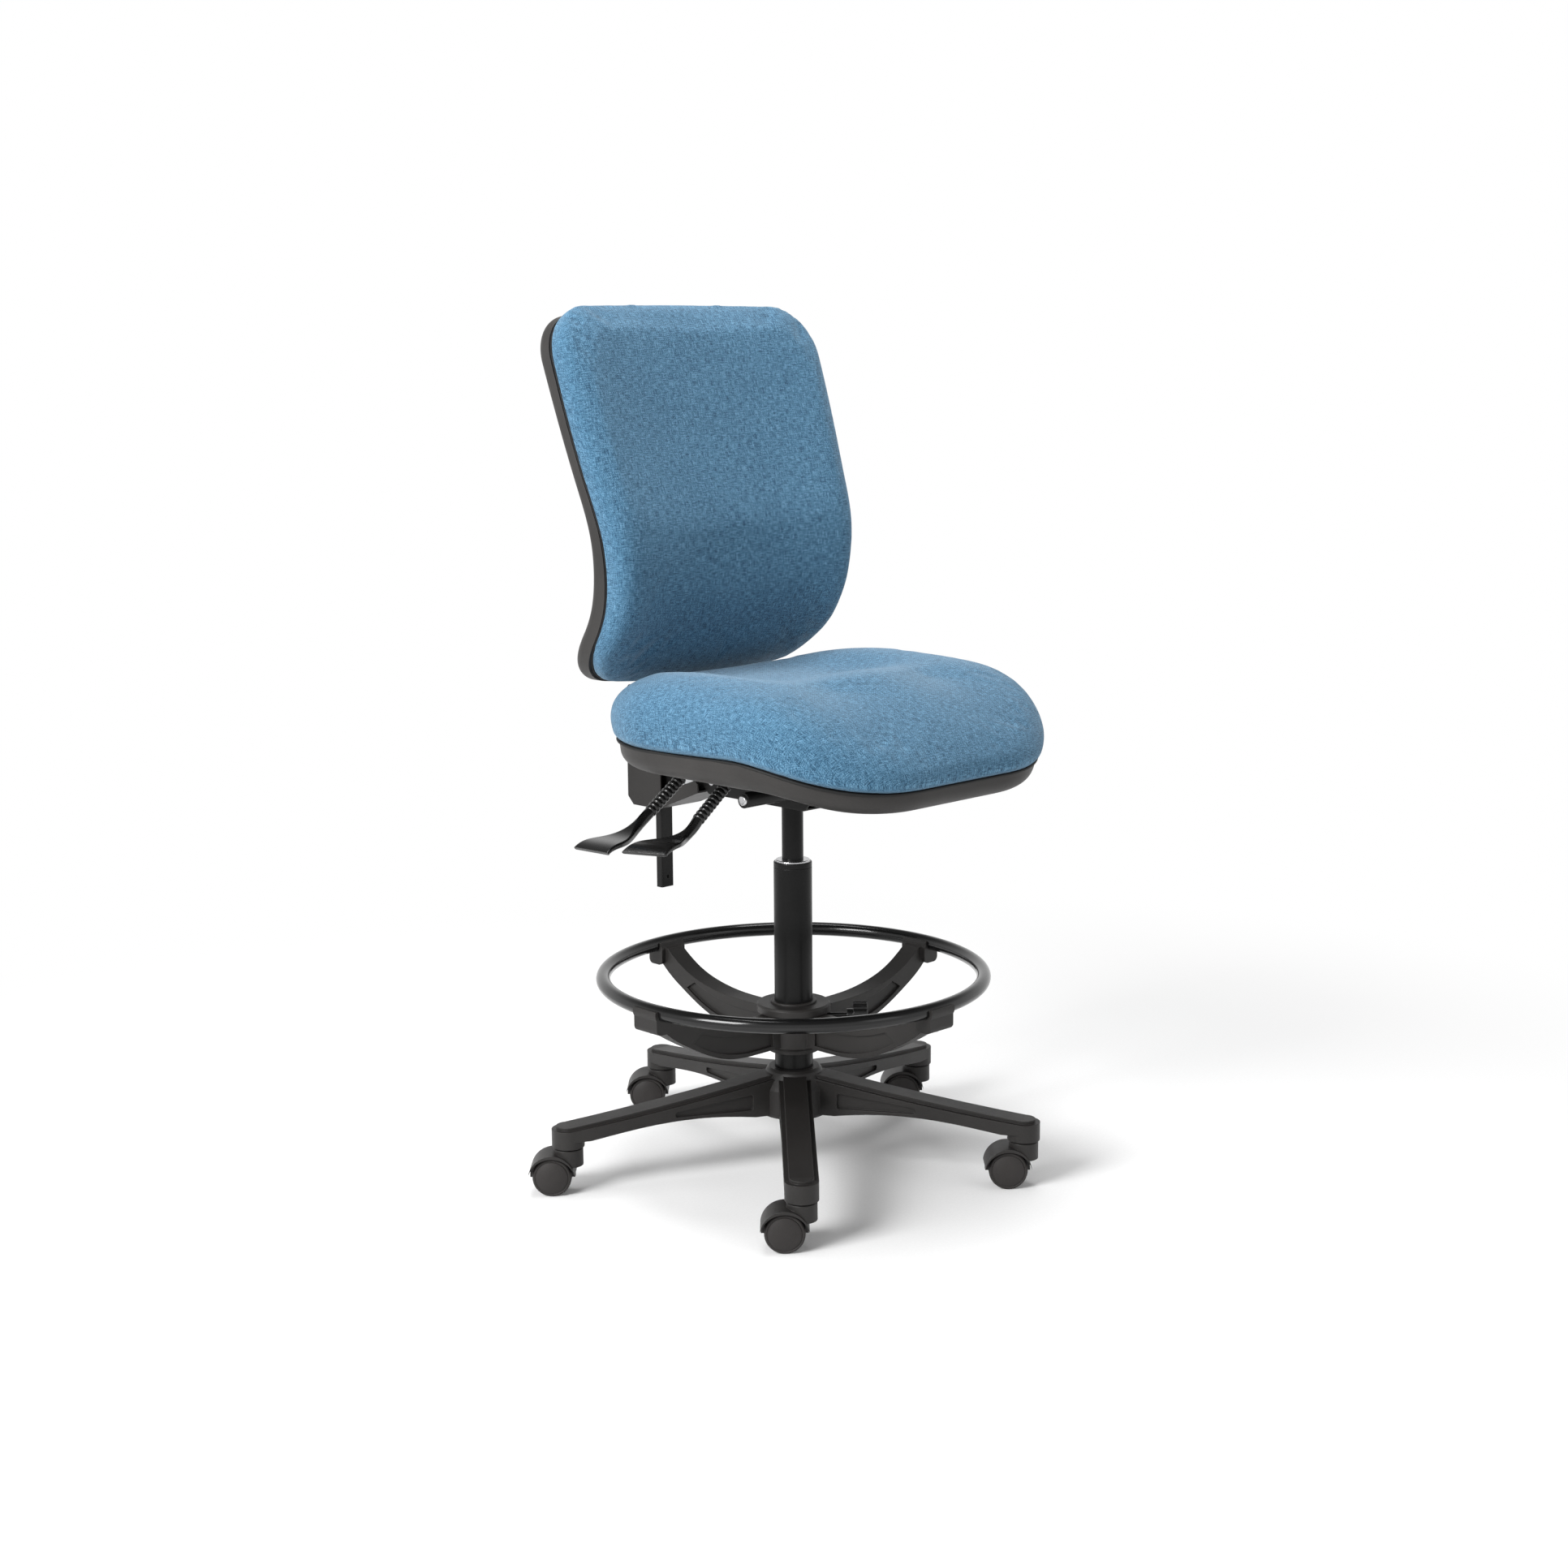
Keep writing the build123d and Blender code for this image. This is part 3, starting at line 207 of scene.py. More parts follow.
class Shader:
    """Short calls for wiring one material."""

    def __init__(self, name):
        self.material = bpy.data.materials.new(name)
        self.material.use_nodes = True
        self.tree = self.material.node_tree
        self.surface = self.tree.nodes["Principled BSDF"]

    def node(self, kind, **settings):
        made = self.tree.nodes.new(kind)
        for key, value in settings.items():
            setattr(made, key, value)
        return made

    def link(self, source, target):
        self.tree.links.new(source, target)

    def set(self, **values):
        for key, value in values.items():
            self.surface.inputs[key.replace("_", " ")].default_value = value

    def stretched(self, vector, stretch):
        scaled = self.node("ShaderNodeVectorMath", operation="MULTIPLY")
        scaled.inputs[1].default_value = stretch
        self.link(vector, scaled.inputs[0])
        return scaled.outputs[0]

    def place(self, stretch=(1, 1, 1)):
        """Object coordinates, stretched."""
        return self.stretched(self.node("ShaderNodeTexCoord").outputs["Object"], stretch)

    def noise_at(self, vector, scale, detail):
        made = self.node("ShaderNodeTexNoise")
        made.inputs["Scale"].default_value = scale
        made.inputs["Detail"].default_value = detail
        self.link(vector, made.inputs["Vector"])
        return made.outputs["Fac"]

    def noise(self, scale, detail=3, stretch=(1, 1, 1)):
        return self.noise_at(self.place(stretch), scale, detail)

    def maths(self, operation, a, b=None, clamp=False):
        made = self.node("ShaderNodeMath", operation=operation, use_clamp=clamp)
        for socket, value in zip(made.inputs, (a, b)):
            if value is None:
                continue
            if isinstance(value, (int, float)):
                socket.default_value = value
            else:
                self.link(value, socket)
        return made.outputs[0]

    def ramp(self, value, stops):
        made = self.node("ShaderNodeValToRGB")
        elements = made.color_ramp.elements
        while len(elements) < len(stops):
            elements.new(0.5)
        for element, (where, colour) in zip(elements, stops):
            element.position = where
            element.color = (*colour, 1)
        self.link(value, made.inputs["Fac"])
        return made.outputs["Color"]

    def span(self, value, low, high):
        """A 0 to 1 value taken to low to high."""
        made = self.node("ShaderNodeMapRange")
        made.inputs["To Min"].default_value = low
        made.inputs["To Max"].default_value = high
        self.link(value, made.inputs["Value"])
        return made.outputs["Result"]

    def mix(self, share, a, b):
        made = self.node("ShaderNodeMix", data_type="RGBA")
        for key, value in (("Factor", share), ("A", a), ("B", b)):
            socket = made.inputs[key]
            if isinstance(value, tuple):
                socket.default_value = (*value, 1)
            elif isinstance(value, (int, float)):
                socket.default_value = value
            else:
                self.link(value, socket)
        return made.outputs["Result"]

    def bump(self, height, distance, strength=1.0, under=None):
        made = self.node("ShaderNodeBump")
        made.inputs["Distance"].default_value = distance
        made.inputs["Strength"].default_value = strength
        self.link(height, made.inputs["Height"])
        if under is not None:
            self.link(under, made.inputs["Normal"])
        return made.outputs["Normal"]

    def edge_share(self, radius):
        """1 on edges within the radius and 0 on open faces, and the rounded normal."""
        soft = self.node("ShaderNodeBevel", samples=4)
        soft.inputs["Radius"].default_value = radius
        flat = self.node("ShaderNodeNewGeometry")
        compare = self.node("ShaderNodeVectorMath", operation="DOT_PRODUCT")
        self.link(soft.outputs["Normal"], compare.inputs[0])
        self.link(flat.outputs["Normal"], compare.inputs[1])
        bent = self.maths("SUBTRACT", 1.0, compare.outputs["Value"])
        return self.maths("MULTIPLY", bent, 4.0, clamp=True), soft.outputs["Normal"]


def moulded(name, dark, light, worn, roughness, grain, depth, edge=0.0012, shine=0.3):
    """Moulded plastic: mottled tone, fine spark-eroded grain, rubbed edges."""
    s = Shader(name)
    cloud = s.noise(9, 4)
    speck = s.noise(grain, 2)
    tone = s.maths("ADD", s.maths("MULTIPLY", cloud, 0.65), s.maths("MULTIPLY", speck, 0.35))
    base = s.ramp(tone, [(0.35, dark), (0.65, light)])
    rubbed, soft = s.edge_share(edge)
    patchy = s.maths("MULTIPLY", rubbed, s.noise(70, 3))
    s.link(s.mix(patchy, base, worn), s.surface.inputs["Base Color"])
    low, high = roughness
    smear = s.noise(26, 5)
    s.link(s.span(smear, low, high), s.surface.inputs["Roughness"])
    s.link(s.bump(speck, depth, 0.6, soft), s.surface.inputs["Normal"])
    s.set(Specular_IOR_Level=shine)
    return s


def painted(name, dark, light, roughness, coat, ripple, edge=0.0008, shine=0.2):
    """Powder coat or enamel on steel: faint orange peel under a clear gloss."""
    s = Shader(name)
    cloud = s.noise(14, 4)
    base = s.ramp(cloud, [(0.3, dark), (0.7, light)])
    rubbed, soft = s.edge_share(edge)
    bare = s.maths("MULTIPLY", rubbed, 0.35)
    s.link(s.mix(bare, base, (0.12, 0.12, 0.118)), s.surface.inputs["Base Color"])
    s.link(s.span(s.noise(40, 4), *roughness), s.surface.inputs["Roughness"])
    s.set(Coat_Weight=coat, Coat_Roughness=0.12, Specular_IOR_Level=shine)
    s.link(s.bump(s.noise(ripple, 2), 0.00004, 0.35, soft), s.surface.inputs["Normal"])
    return s


def metal(name, dark, light, roughness, stretch):
    """Bare or plated steel with a drawn grain."""
    s = Shader(name)
    drawn = s.noise(500, 3, stretch)
    blotch = s.noise(60, 4)
    tone = s.maths("ADD", s.maths("MULTIPLY", drawn, 0.5), s.maths("MULTIPLY", blotch, 0.5))
    s.link(s.ramp(tone, [(0.3, dark), (0.7, light)]), s.surface.inputs["Base Color"])
    s.link(s.span(blotch, *roughness), s.surface.inputs["Roughness"])
    s.set(Metallic=1.0)
    s.link(s.bump(drawn, 0.00003, 0.5, s.edge_share(0.0006)[1]), s.surface.inputs["Normal"])
    return s


THREAD = "thread"       # attribute: where a point of a cover lies on the flat cloth, metres
WEAVE = 0.0026          # one pair of threads, metres
SLUB = 950              # thick and thin places across a thread, per metre
SLUB_RUN = 0.1          # the same along a thread, as a share
FLECK = 1000            # stray light and dark fibres, per metre
CLOUD = 11              # faint patches of dye, per metre
EVEN = (1, 1, 1)


def woven(name, deep, middle, pale):
    """Melange upholstery cloth: slub threads running both ways over a plain weave."""
    s = Shader(name)
    cloth = s.node("ShaderNodeAttribute", attribute_name=THREAD).outputs["Vector"]
    place = s.node("ShaderNodeSeparateXYZ")
    s.link(cloth, place.inputs[0])

    def slubs(scale, stretch, detail):
        return s.noise_at(s.stretched(cloth, stretch), scale, detail)

    def wave(socket):
        return s.maths("SINE", s.maths("MULTIPLY", socket, 2 * math.pi / WEAVE))

    def about_zero(noise, strength):
        return s.maths("MULTIPLY", s.maths("SUBTRACT", noise, 0.5), strength)

    weft = slubs(SLUB, (SLUB_RUN, 1, 1), 1)
    warp = slubs(SLUB, (1, SLUB_RUN, 1), 1)
    fleck = slubs(FLECK, EVEN, 1)
    cloud = slubs(CLOUD, EVEN, 3)
    cells = s.maths("MULTIPLY", wave(place.outputs[0]), wave(place.outputs[1]))
    mottle = s.maths("MULTIPLY", s.maths("ADD", weft, warp), 0.5)
    tone = s.maths("ADD", mottle, s.maths("MULTIPLY", cells, 0.08))
    tone = s.maths("ADD", tone, about_zero(fleck, 0.7))
    tone = s.maths("ADD", tone, about_zero(cloud, 0.08))
    colour = s.ramp(tone, [(0.36, deep), (0.5, middle), (0.64, pale)])
    s.link(colour, s.surface.inputs["Base Color"])
    s.link(s.span(mottle, 0.82, 0.96), s.surface.inputs["Roughness"])
    s.set(Sheen_Weight=0.25, Sheen_Roughness=0.45, Sheen_Tint=(0.7, 0.84, 0.95, 1))
    s.set(Specular_IOR_Level=0.2)
    height = s.maths("ADD", s.maths("MULTIPLY", cells, 0.5), s.maths("MULTIPLY", mottle, 2.0))
    s.link(s.bump(height, 0.0003, 0.8), s.surface.inputs["Normal"])
    return s


def plywood_material():
    s = Shader("plywood")
    rings = s.noise(40, 4, (1, 0.08, 1))
    colour = s.ramp(rings, [(0.3, (0.32, 0.19, 0.09)), (0.7, (0.56, 0.38, 0.2))])
    s.link(colour, s.surface.inputs["Base Color"])
    s.link(s.span(rings, 0.5, 0.75), s.surface.inputs["Roughness"])
    s.link(s.bump(rings, 0.0002, 0.5), s.surface.inputs["Normal"])
    return s


# Each finish: its darkest tone, its palest and, on mouldings, its rubbed edges; then its roughness.
FINISHES = {
    "moulded_nylon": moulded(
        "moulded_nylon", (0.011, 0.01, 0.0095), (0.019, 0.0175, 0.0165), (0.05, 0.047, 0.045),
        (0.38, 0.52), 900, 0.0003),
    "wheel_plastic": moulded(
        "wheel_plastic", (0.015, 0.013, 0.0125), (0.024, 0.021, 0.02), (0.05, 0.046, 0.044),
        (0.45, 0.6), 900, 0.0002),
    "shell_plastic": moulded(
        "shell_plastic", (0.019, 0.0178, 0.017), (0.029, 0.0272, 0.026), (0.07, 0.066, 0.063),
        (0.42, 0.56), 900, 0.00025),
    "ring_enamel": painted(
        "ring_enamel", (0.004, 0.004, 0.004), (0.008, 0.008, 0.0082), (0.14, 0.22), 0.35, 500),
    "column_enamel": painted(
        "column_enamel", (0.003, 0.003, 0.003), (0.007, 0.007, 0.0071), (0.26, 0.38), 0.05, 900,
        shine=0.12),
    "frame_enamel": painted(
        "frame_enamel", (0.005, 0.005, 0.005), (0.01, 0.0098, 0.0096), (0.32, 0.46), 0.05, 1100,
        shine=0.15),
    "guide_metal": metal(
        "guide_metal", (0.42, 0.42, 0.43), (0.7, 0.7, 0.71), (0.2, 0.36), (1, 1, 0.1)),
    "bearing_steel": metal(
        "bearing_steel", (0.4, 0.4, 0.41), (0.62, 0.62, 0.63), (0.15, 0.28), (1, 1, 0.1)),
    "zinc_steel": metal(
        "zinc_steel", (0.46, 0.47, 0.48), (0.74, 0.75, 0.76), (0.22, 0.42), (0.1, 1, 1)),
    "grip_plastic": moulded(
        "grip_plastic", (0.004, 0.004, 0.004), (0.008, 0.0079, 0.0078), (0.03, 0.029, 0.028),
        (0.16, 0.28), 900, 0.00006, shine=0.5),
    "button_plastic": moulded(
        "button_plastic", (0.25, 0.02, 0.015), (0.34, 0.03, 0.02), (0.4, 0.1, 0.08),
        (0.35, 0.5), 900, 0.0001),
    "plywood": plywood_material(),
    "upholstery": woven(
        "upholstery", (0.013, 0.042, 0.08), (0.04, 0.118, 0.2), (0.118, 0.25, 0.37)),
}
# Near-black moulding for the strips laid in the seams between cushions and shells: painted shade, a
# solid dark piece standing in for the shadow in each seam gap.
seam_shade_black = moulded(
    "seam_shade_black", (0.004, 0.004, 0.004), (0.008, 0.008, 0.008), (0.02, 0.02, 0.02),
    (0.5, 0.7), 1200, 0.0001)


def dress(piece, finish):
    piece.data.materials.clear()
    piece.data.materials.append(finish.material)


slot_of = {part["node"]: part["material_slot"] for part in frame["record"]["subparts"]}
for node_name, cad_node in nodes.items():
    for index in range(max(1, len(cad_node.material_slots))):
        if index >= len(cad_node.material_slots):
            cad_node.data.materials.append(None)
        cad_node.material_slots[index].material = FINISHES[slot_of[node_name]].material


# ------------------------------------------------------------------ cloth over foam

VOXEL = 0.005           # remesh size of a cover, metres
PRESSURE = 3.0          # what swells a cover
SWELL = 0.004           # furthest a cover's point may rise off its foam, metres
SETTLE_FRAMES = 20


def apply_modifier(piece, kind, **settings):
    added = piece.modifiers.new(kind.lower(), kind)
    for key, value in settings.items():
        setattr(added, key, value)
    bpy.ops.object.modifier_apply(modifier=added.name)


def stretch_cover(form, name, hold):
    """A cover swollen over its foam form. hold(points) is 0 on the seam, 1 where it is free."""
    piece = bpy.data.objects.new(name, form.data.copy())
    bpy.context.scene.collection.objects.link(piece)
    bpy.context.view_layer.objects.active = piece
    apply_modifier(piece, "REMESH", mode="VOXEL", voxel_size=VOXEL)
    for _ in range(3):
        apply_modifier(piece, "SMOOTH", factor=0.5, iterations=4)
        apply_modifier(piece, "SHRINKWRAP", target=form, wrap_method="NEAREST_SURFACEPOINT")
    bpy.data.objects.remove(form)
    count = len(piece.data.vertices)
    rest = np.zeros(count * 3)
    piece.data.vertices.foreach_get("co", rest)
    rest = rest.reshape(-1, 3)
    free = hold(rest)
    pinned = piece.vertex_groups.new(name="seam")
    for i in range(count):
        pinned.add([i], float(1 - free[i]), "REPLACE")
    cloth = piece.modifiers.new("cover", "CLOTH")
    cloth.settings.quality = 5
    cloth.settings.mass = 0.3
    cloth.settings.tension_stiffness = 25
    cloth.settings.compression_stiffness = 25
    cloth.settings.bending_stiffness = 4
    cloth.settings.use_pressure = True
    cloth.settings.uniform_pressure_force = PRESSURE
    cloth.settings.vertex_group_mass = "seam"
    cloth.settings.effector_weights.gravity = 0
    cloth.collision_settings.use_collision = False
    scene = bpy.context.scene
    for step in range(1, SETTLE_FRAMES + 1):
        scene.frame_set(step)
    bpy.ops.object.modifier_apply(modifier=cloth.name)
    moved = np.zeros(count * 3)
    piece.data.vertices.foreach_get("co", moved)
    shift = moved.reshape(-1, 3) - rest
    size = np.linalg.norm(shift, axis=1)
    shift *= (np.minimum(size, SWELL) / np.maximum(size, 1e-9) * free)[:, None]
    piece.data.vertices.foreach_set("co", (rest + shift).ravel())
    scene.frame_set(1)
    piece.vertex_groups.clear()
    apply_modifier(piece, "SMOOTH", factor=0.4, iterations=2)
    apply_modifier(piece, "SUBSURF", levels=1, render_levels=1)
    piece.data.polygons.foreach_set("use_smooth", [True] * len(piece.data.polygons))
    piece.data.update()
    return piece


def arc_length(profile, low, high):
    """Length run along a profile from its low end, as a function of the station."""
    at = np.linspace(low, high, 400)
    step = np.hypot(np.diff(at), np.diff(profile(at)))
    run = np.concatenate([[0], np.cumsum(step)])
    return lambda station: np.interp(station, at, run)


def lay_threads(piece, flat):
    """Stores each point's place on the flat cloth, from flat(points, normals)."""
    count = len(piece.data.vertices)
    points, normals = np.zeros(count * 3), np.zeros(count * 3)
    piece.data.vertices.foreach_get("co", points)
    piece.data.vertices.foreach_get("normal", normals)
    across, along = flat(points.reshape(-1, 3), normals.reshape(-1, 3))
    laid = np.stack([across, along, np.zeros(count)], axis=1)
    attribute = piece.data.attributes.new(THREAD, "FLOAT_VECTOR", "POINT")
    attribute.data.foreach_set("vector", laid.ravel())


# ------------------------------------------------------------------ seat cushion

SEAT_CENTRE = (SEAT_SHELL_LOW + SEAT_SHELL_HIGH) / 2
SEAT_CORNER = 0.165     # plan radius
SEAT_FRONT, SEAT_REAR = -0.34, 0.2
SEAT_SEAM_GAP = 0.0016  # cushion above the shell's rim
# Near-black strip along the seat's seam, painted shade for the shadow in the gap between cushion
# and shell: its inset and its radius.
SEAT_SHADE_STRIP_INSET = 0.0165
SEAT_SHADE_STRIP_RADIUS = 0.0018

# Heights along the seat, front to rear: the shell's rim, then the middle of the cushion's top.
seat_rim = spline_through([SEAT_FRONT, -0.29, -0.245, -0.195, -0.15, -0.1, SEAT_REAR],
                          [0.546, 0.5508, 0.562, 0.5766, 0.585, 0.585, 0.585])
seat_crown = spline_through([SEAT_FRONT, -0.25, -0.18, -0.09, 0.06, SEAT_REAR],
                            [0.568, 0.634, 0.662, 0.671, 0.668, 0.652])

# The cushion's edge from underneath to the top: share of the outline, share of the height.
SEAT_EDGE = [(0.05, 0), (0.5, 0), (0.9, 0), (0.948, 0.0), (0.972, 0.035), (0.992, 0.15),
             (1.0, 0.3), (0.999, 0.44), (0.988, 0.58), (0.962, 0.71), (0.925, 0.815),
             (0.875, 0.895), (0.805, 0.95), (0.72, 0.98), (0.58, 1.0), (0.35, 1.0), (0.05, 1.0)]


def seat_top(x, y):
    """Height of the sitting surface: crowned lengthways, dished at the rear, grooved for thighs."""
    dish = 0.022 * np.exp(-(x / 0.12) ** 4 - ((y - 0.02) / 0.11) ** 4)
    thighs = 0.006 * np.exp(-((np.abs(x) - 0.1) / 0.06) ** 2 - ((y + 0.16) / 0.12) ** 2)
    return seat_crown(y) - dish - thighs


def make_seat_cushion():
    half = (SEAT_PAD_HIGH - SEAT_PAD_LOW) / 2
    outline = rounded_rectangle(2 * half.x, 2 * half.y, SEAT_CORNER, 200)
    out, rise = smooth_profile(SEAT_EDGE, 90)
    rings = []
    for scale, share in zip(out, rise):
        x = SEAT_CENTRE.x + outline[:, 0] * scale
        y = SEAT_CENTRE.y + outline[:, 1] * scale
        low = seat_rim(y) + SEAT_SEAM_GAP
        rings.append(np.stack([x, y, low + share * (seat_top(x, y) - low)], axis=1))
    form = closed_form("seat_foam", rings)

    def off_the_rim(p):
        return np.clip((p[:, 2] - seat_rim(p[:, 1]) - 0.008) / 0.03, 0, 1)

    cushion = stretch_cover(form, "seat_cushion_cover", off_the_rim)
    run = arc_length(seat_crown, SEAT_FRONT, SEAT_REAR)

    def flat(p, n):
        under = np.maximum(seat_crown(p[:, 1]) - p[:, 2], 0)
        return p[:, 0] + n[:, 0] * under, run(p[:, 1]) + n[:, 1] * under

    lay_threads(cushion, flat)
    dress(cushion, FINISHES["upholstery"])
    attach(cushion, "seat")
    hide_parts("seat_cushion")

    # A near-black tube along the seam: painted shade standing in for the gap's shadow.
    rim = rounded_rectangle(2 * half.x - SEAT_SHADE_STRIP_INSET, 2 * half.y - SEAT_SHADE_STRIP_INSET,
                            SEAT_CORNER - 0.008, 220)
    y = SEAT_CENTRE.y + rim[:, 1]
    path = np.stack([rim[:, 0], y, seat_rim(y) + SEAT_SEAM_GAP / 2], axis=1)
    shade_strip = tube_along("seat_seam_shade_strip", path, SEAT_SHADE_STRIP_RADIUS)
    dress(shade_strip, seam_shade_black)
    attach(shade_strip, "seat")


# ------------------------------------------------------------------ back cushion

WRAP = 1.2              # plan radius of the back
BACK_LOW, BACK_HIGH = 0.615, 1.15       # ends of the side curve
BACK_FOOT = 0.652       # height of the lower edge at its corners
SHELL_HEAD = 1.107      # height of the shell's upper edge at its corners
CUSHION_HEAD = 1.123    # the same of the cushion's
FOOT_HALF, HEAD_HALF = 0.2, 0.226       # half widths at the foot and the head
FOOT_SAG = 0.018        # how far the lower edge hangs below its corners
HEAD_CROWN = 0.004      # how far the upper edge rises above its corners
BACK_SEAM_GAP = 0.0012  # cushion ahead of the shell's rim
BACK_THICK = 0.038      # cushion ahead of its seam

# Side view of the seam, foot to head: height, then depth.
back_seam = spline_through([BACK_LOW, 0.655, 0.693, 0.745, 0.785, 0.836, 0.899, 1.02, BACK_HIGH],
                           [0.212, 0.198, 0.171, 0.142, 0.135, 0.138, 0.158, 0.199, 0.243])
back_half_width = spline_through([BACK_FOOT, 0.776, 0.96, CUSHION_HEAD],
                                 [FOOT_HALF, 0.209, 0.225, HEAD_HALF])

# The cushion's edge from behind to the front: share of the outline, thickness.
BACK_EDGE = [(0.05, 0), (0.5, 0), (0.93, 0), (0.99, 0.0), (0.9955, 0.003), (0.9995, 0.0085),
             (1.0, 0.0145), (0.994, 0.0215), (0.976, 0.0285), (0.944, 0.0338), (0.9, 0.037),
             (0.84, 0.0383), (0.75, 0.0382), (0.55, 0.0368), (0.3, 0.0358), (0.05, 0.0356)]

# The section of the near-black strip that closes the seam, painted shade standing in for the shadow
# in the gap: inset from the shell's outline, height ahead of it.
BACK_SHADE_STRIP = [(0.0012, 0.0003), (0.0012, 0.0012), (0.0022, 0.0022), (0.006, 0.0024),
             (0.018, 0.0018), (0.018, 0.0003)]


def seam_surface(x, z):
    """Depth of the surface where cushion and shell meet."""
    return np.sqrt((WRAP + back_seam(z)) ** 2 - x ** 2) - WRAP


def back_outline(inset, head, foot_round, head_round, count):
    """Front view of the back as a closed loop of (x, z)."""
    foot, head = BACK_FOOT + inset, head - inset
    side_z = np.linspace(foot + foot_round, head - head_round, 40)
    side = np.stack([back_half_width(side_z) - inset, side_z], axis=1)
    foot_tip = np.array([FOOT_HALF - inset, foot])
    head_tip = np.array([HEAD_HALF - inset, head])
    across = np.linspace(-1, 1, 40)
    foot_x = across * (foot_tip[0] - foot_round)
    foot_line = np.stack([foot_x, foot - FOOT_SAG * (1 - (foot_x / foot_tip[0]) ** 2)], axis=1)
    head_x = -across * (head_tip[0] - head_round)
    head_line = np.stack([head_x, head + HEAD_CROWN * (1 - (head_x / head_tip[0]) ** 2)], axis=1)
    mirror = np.array([-1, 1])
    loop = np.vstack([
        foot_line,
        rounded_corner(foot_line[-1], foot_tip, side[0]),
        side,
        rounded_corner(side[-1], head_tip, head_line[0]),
        head_line,
        rounded_corner(head_line[-1], head_tip * mirror, side[-1] * mirror),
        side[::-1] * mirror,
        rounded_corner(side[0] * mirror, foot_tip * mirror, foot_line[0]),
    ])
    return even_loop(loop, count)


def make_back_cushion():
    at_seam = back_outline(0.0, SHELL_HEAD, 0.056, 0.052, 220)
    at_front = back_outline(0.0, CUSHION_HEAD, 0.052, 0.062, 220)
    middle = (BACK_FOOT + CUSHION_HEAD) / 2
    out, depth = smooth_profile(BACK_EDGE, 90)
    rings = []
    for scale, thick in zip(out, depth):
        bulge = np.clip(thick / 0.014, 0, 1)
        outline = at_seam + (at_front - at_seam) * bulge * (2 - bulge)
        x = outline[:, 0] * scale
        z = middle + (outline[:, 1] - middle) * scale
        rings.append(np.stack([x, seam_surface(x, z) - BACK_SEAM_GAP - thick, z], axis=1))
    form = closed_form("back_foam", rings)

    def off_the_seam(p):
        return np.clip((seam_surface(p[:, 0], p[:, 2]) - p[:, 1] - 0.006) / 0.02, 0, 1)

    cushion = stretch_cover(form, "back_cushion_cover", off_the_seam)
    run = arc_length(back_seam, BACK_LOW, BACK_HIGH)

    def flat(p, n):
        behind = np.maximum(p[:, 1] - seam_surface(p[:, 0], p[:, 2]) + BACK_THICK, 0)
        return p[:, 0] + n[:, 0] * behind, run(p[:, 2]) + n[:, 2] * behind

    lay_threads(cushion, flat)
    dress(cushion, FINISHES["upholstery"])
    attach(cushion, "back")
    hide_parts("back_cushion")

    # A near-black band that closes the seam: painted shade standing in for the gap's shadow.
    rings = []
    for inset, proud in BACK_SHADE_STRIP:
        rim = back_outline(inset, SHELL_HEAD, 0.057 - inset, 0.053 - inset, 240)
        depth = seam_surface(rim[:, 0], rim[:, 1]) - proud
        rings.append(np.stack([rim[:, 0], depth, rim[:, 1]], axis=1))
    shade_strip = closed_band("back_seam_shade_strip", rings)
    dress(shade_strip, seam_shade_black)
    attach(shade_strip, "back")


make_seat_cushion()
make_back_cushion()


# ------------------------------------------------------------------ studio


def make_floor():
    """Pale floor that turns into the backdrop colour away from the chair."""
    reach = 30
    corners = [(-reach, -reach, 0), (reach, -reach, 0), (reach, reach, 0), (-reach, reach, 0)]
    floor = mesh_object("floor", corners, [(0, 1, 2, 3)], smooth=False)
    s = Shader("floor")
    s.set(Roughness=0.9, Specular_IOR_Level=0.1)
    s.link(s.ramp(s.noise(300, 2), [(0.3, (0.85, 0.85, 0.85)), (0.7, (0.88, 0.88, 0.88))]),
           s.surface.inputs["Base Color"])
    far = s.node("ShaderNodeVectorMath", operation="LENGTH")
    s.link(s.place(), far.inputs[0])
    share = s.node("ShaderNodeMapRange", interpolation_type="SMOOTHSTEP")
    share.inputs["From Min"].default_value = 0.5
    share.inputs["From Max"].default_value = 1.7
    s.link(far.outputs["Value"], share.inputs["Value"])
    glow = s.node("ShaderNodeEmission")
    glow.inputs["Color"].default_value = (1, 1, 1, 1)
    blend = s.node("ShaderNodeMixShader")
    s.link(share.outputs["Result"], blend.inputs[0])
    s.link(s.surface.outputs[0], blend.inputs[1])
    s.link(glow.outputs[0], blend.inputs[2])
    s.link(blend.outputs[0], s.tree.nodes["Material Output"].inputs["Surface"])
    dress(floor, s)


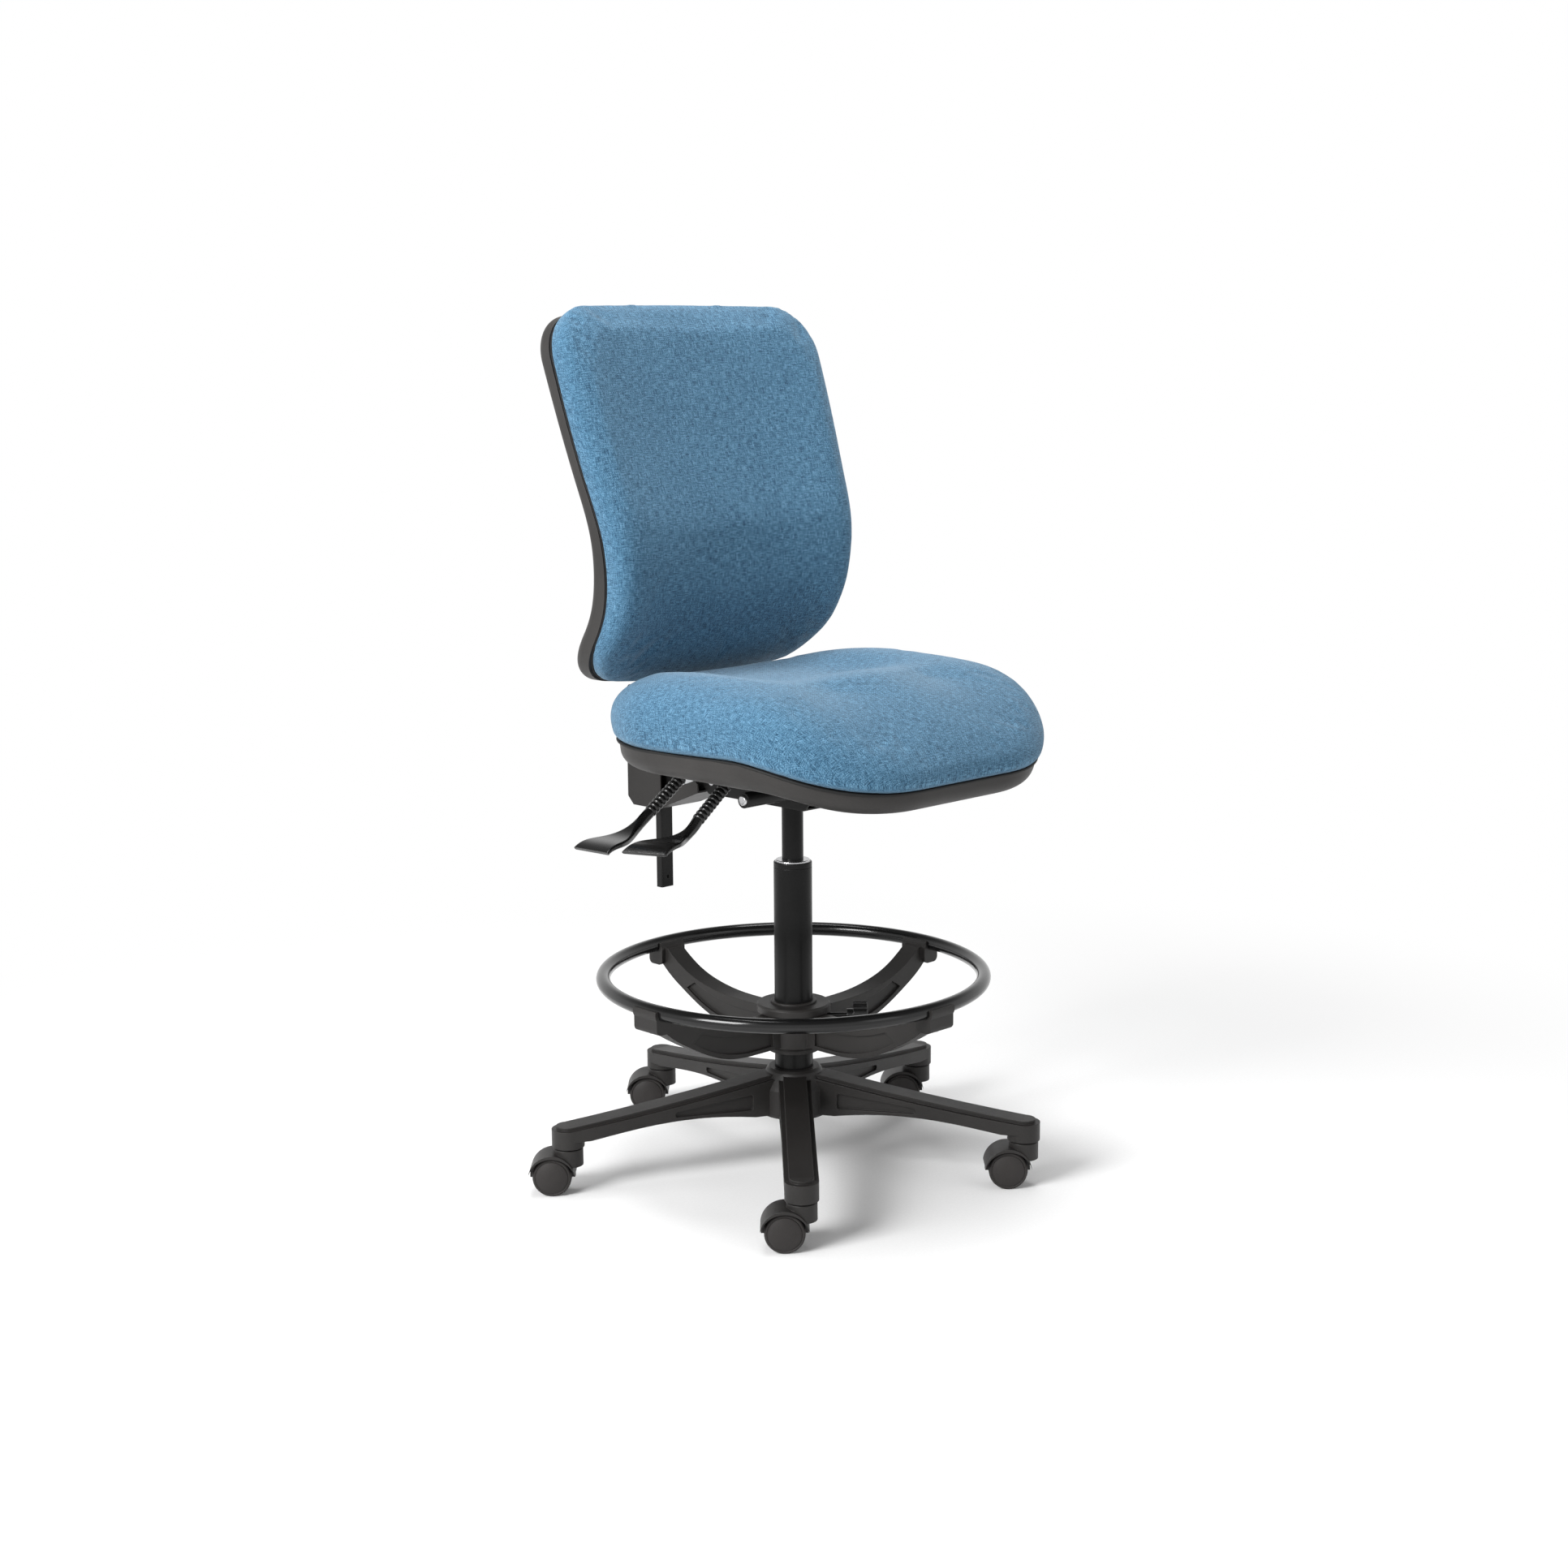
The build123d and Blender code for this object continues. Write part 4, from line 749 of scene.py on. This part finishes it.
def make_world():
    """Pale backdrop round the horizon, falling off to a dim ceiling."""
    world = bpy.data.worlds.new("studio")
    bpy.context.scene.world = world
    world.use_nodes = True
    tree = world.node_tree
    where = tree.nodes.new("ShaderNodeTexCoord")
    parts = tree.nodes.new("ShaderNodeSeparateXYZ")
    ceiling = tree.nodes.new("ShaderNodeMapRange")
    ceiling.interpolation_type = "SMOOTHSTEP"
    ceiling.inputs["From Min"].default_value = 0.3
    ceiling.inputs["From Max"].default_value = 0.75
    ceiling.inputs["To Min"].default_value = 1.0
    ceiling.inputs["To Max"].default_value = 0.15
    tree.links.new(where.outputs["Generated"], parts.inputs[0])
    tree.links.new(parts.outputs["Z"], ceiling.inputs["Value"])
    tree.links.new(ceiling.outputs["Result"], tree.nodes["Background"].inputs["Strength"])
    tree.nodes["Background"].inputs["Color"].default_value = (1, 1, 1, 1)


def area_light(name, place, aim, size, power):
    lamp = bpy.data.lights.new(name, "AREA")
    lamp.shape = "RECTANGLE"
    lamp.size, lamp.size_y = size
    lamp.energy = power
    made = bpy.data.objects.new(name, lamp)
    bpy.context.scene.collection.objects.link(made)
    made.location = place
    made.rotation_euler = (Vector(aim) - Vector(place)).to_track_quat("-Z", "Y").to_euler()


def make_camera():
    """Eye level with the upper back, 45 degrees to the chair's right, looking slightly down."""
    distance, height = 3.1, 1.0806
    data = bpy.data.cameras.new("camera")
    data.lens = 56.07
    data.sensor_width = 36.0
    data.shift_x = -0.00525
    camera = bpy.data.objects.new("camera", data)
    bpy.context.scene.collection.objects.link(camera)
    pitch, roll = math.radians(10.375), math.radians(-0.367)
    away = Vector((math.sqrt(0.5), math.sqrt(0.5), 0))
    right = Vector((math.sqrt(0.5), -math.sqrt(0.5), 0))
    ahead = away * math.cos(pitch) - Vector((0, 0, 1)) * math.sin(pitch)
    up = right.cross(ahead)
    across = right * math.cos(roll) + up * math.sin(roll)
    top = across.cross(ahead)
    turn = Matrix((across, top, -ahead)).transposed()
    eye = away * -distance + Vector((0, 0, height))
    camera.matrix_world = Matrix.Translation(eye) @ turn.to_4x4()
    bpy.context.scene.camera = camera


make_camera()
make_floor()
make_world()
# Each lamp: place, aim and size in metres, power in watts.
area_light("key", (-3.0, -0.1, 2.0), (0, 0, 0.65), (1.4, 1.4), 140)
area_light("fill", (0.4, -3.2, 1.9), (0, 0, 0.6), (1.2, 1.6), 6)
area_light("top", (0.1, 0.2, 3.0), (0, 0, 0.5), (1.6, 1.6), 60)
bpy.context.scene.view_settings.view_transform = "Standard"
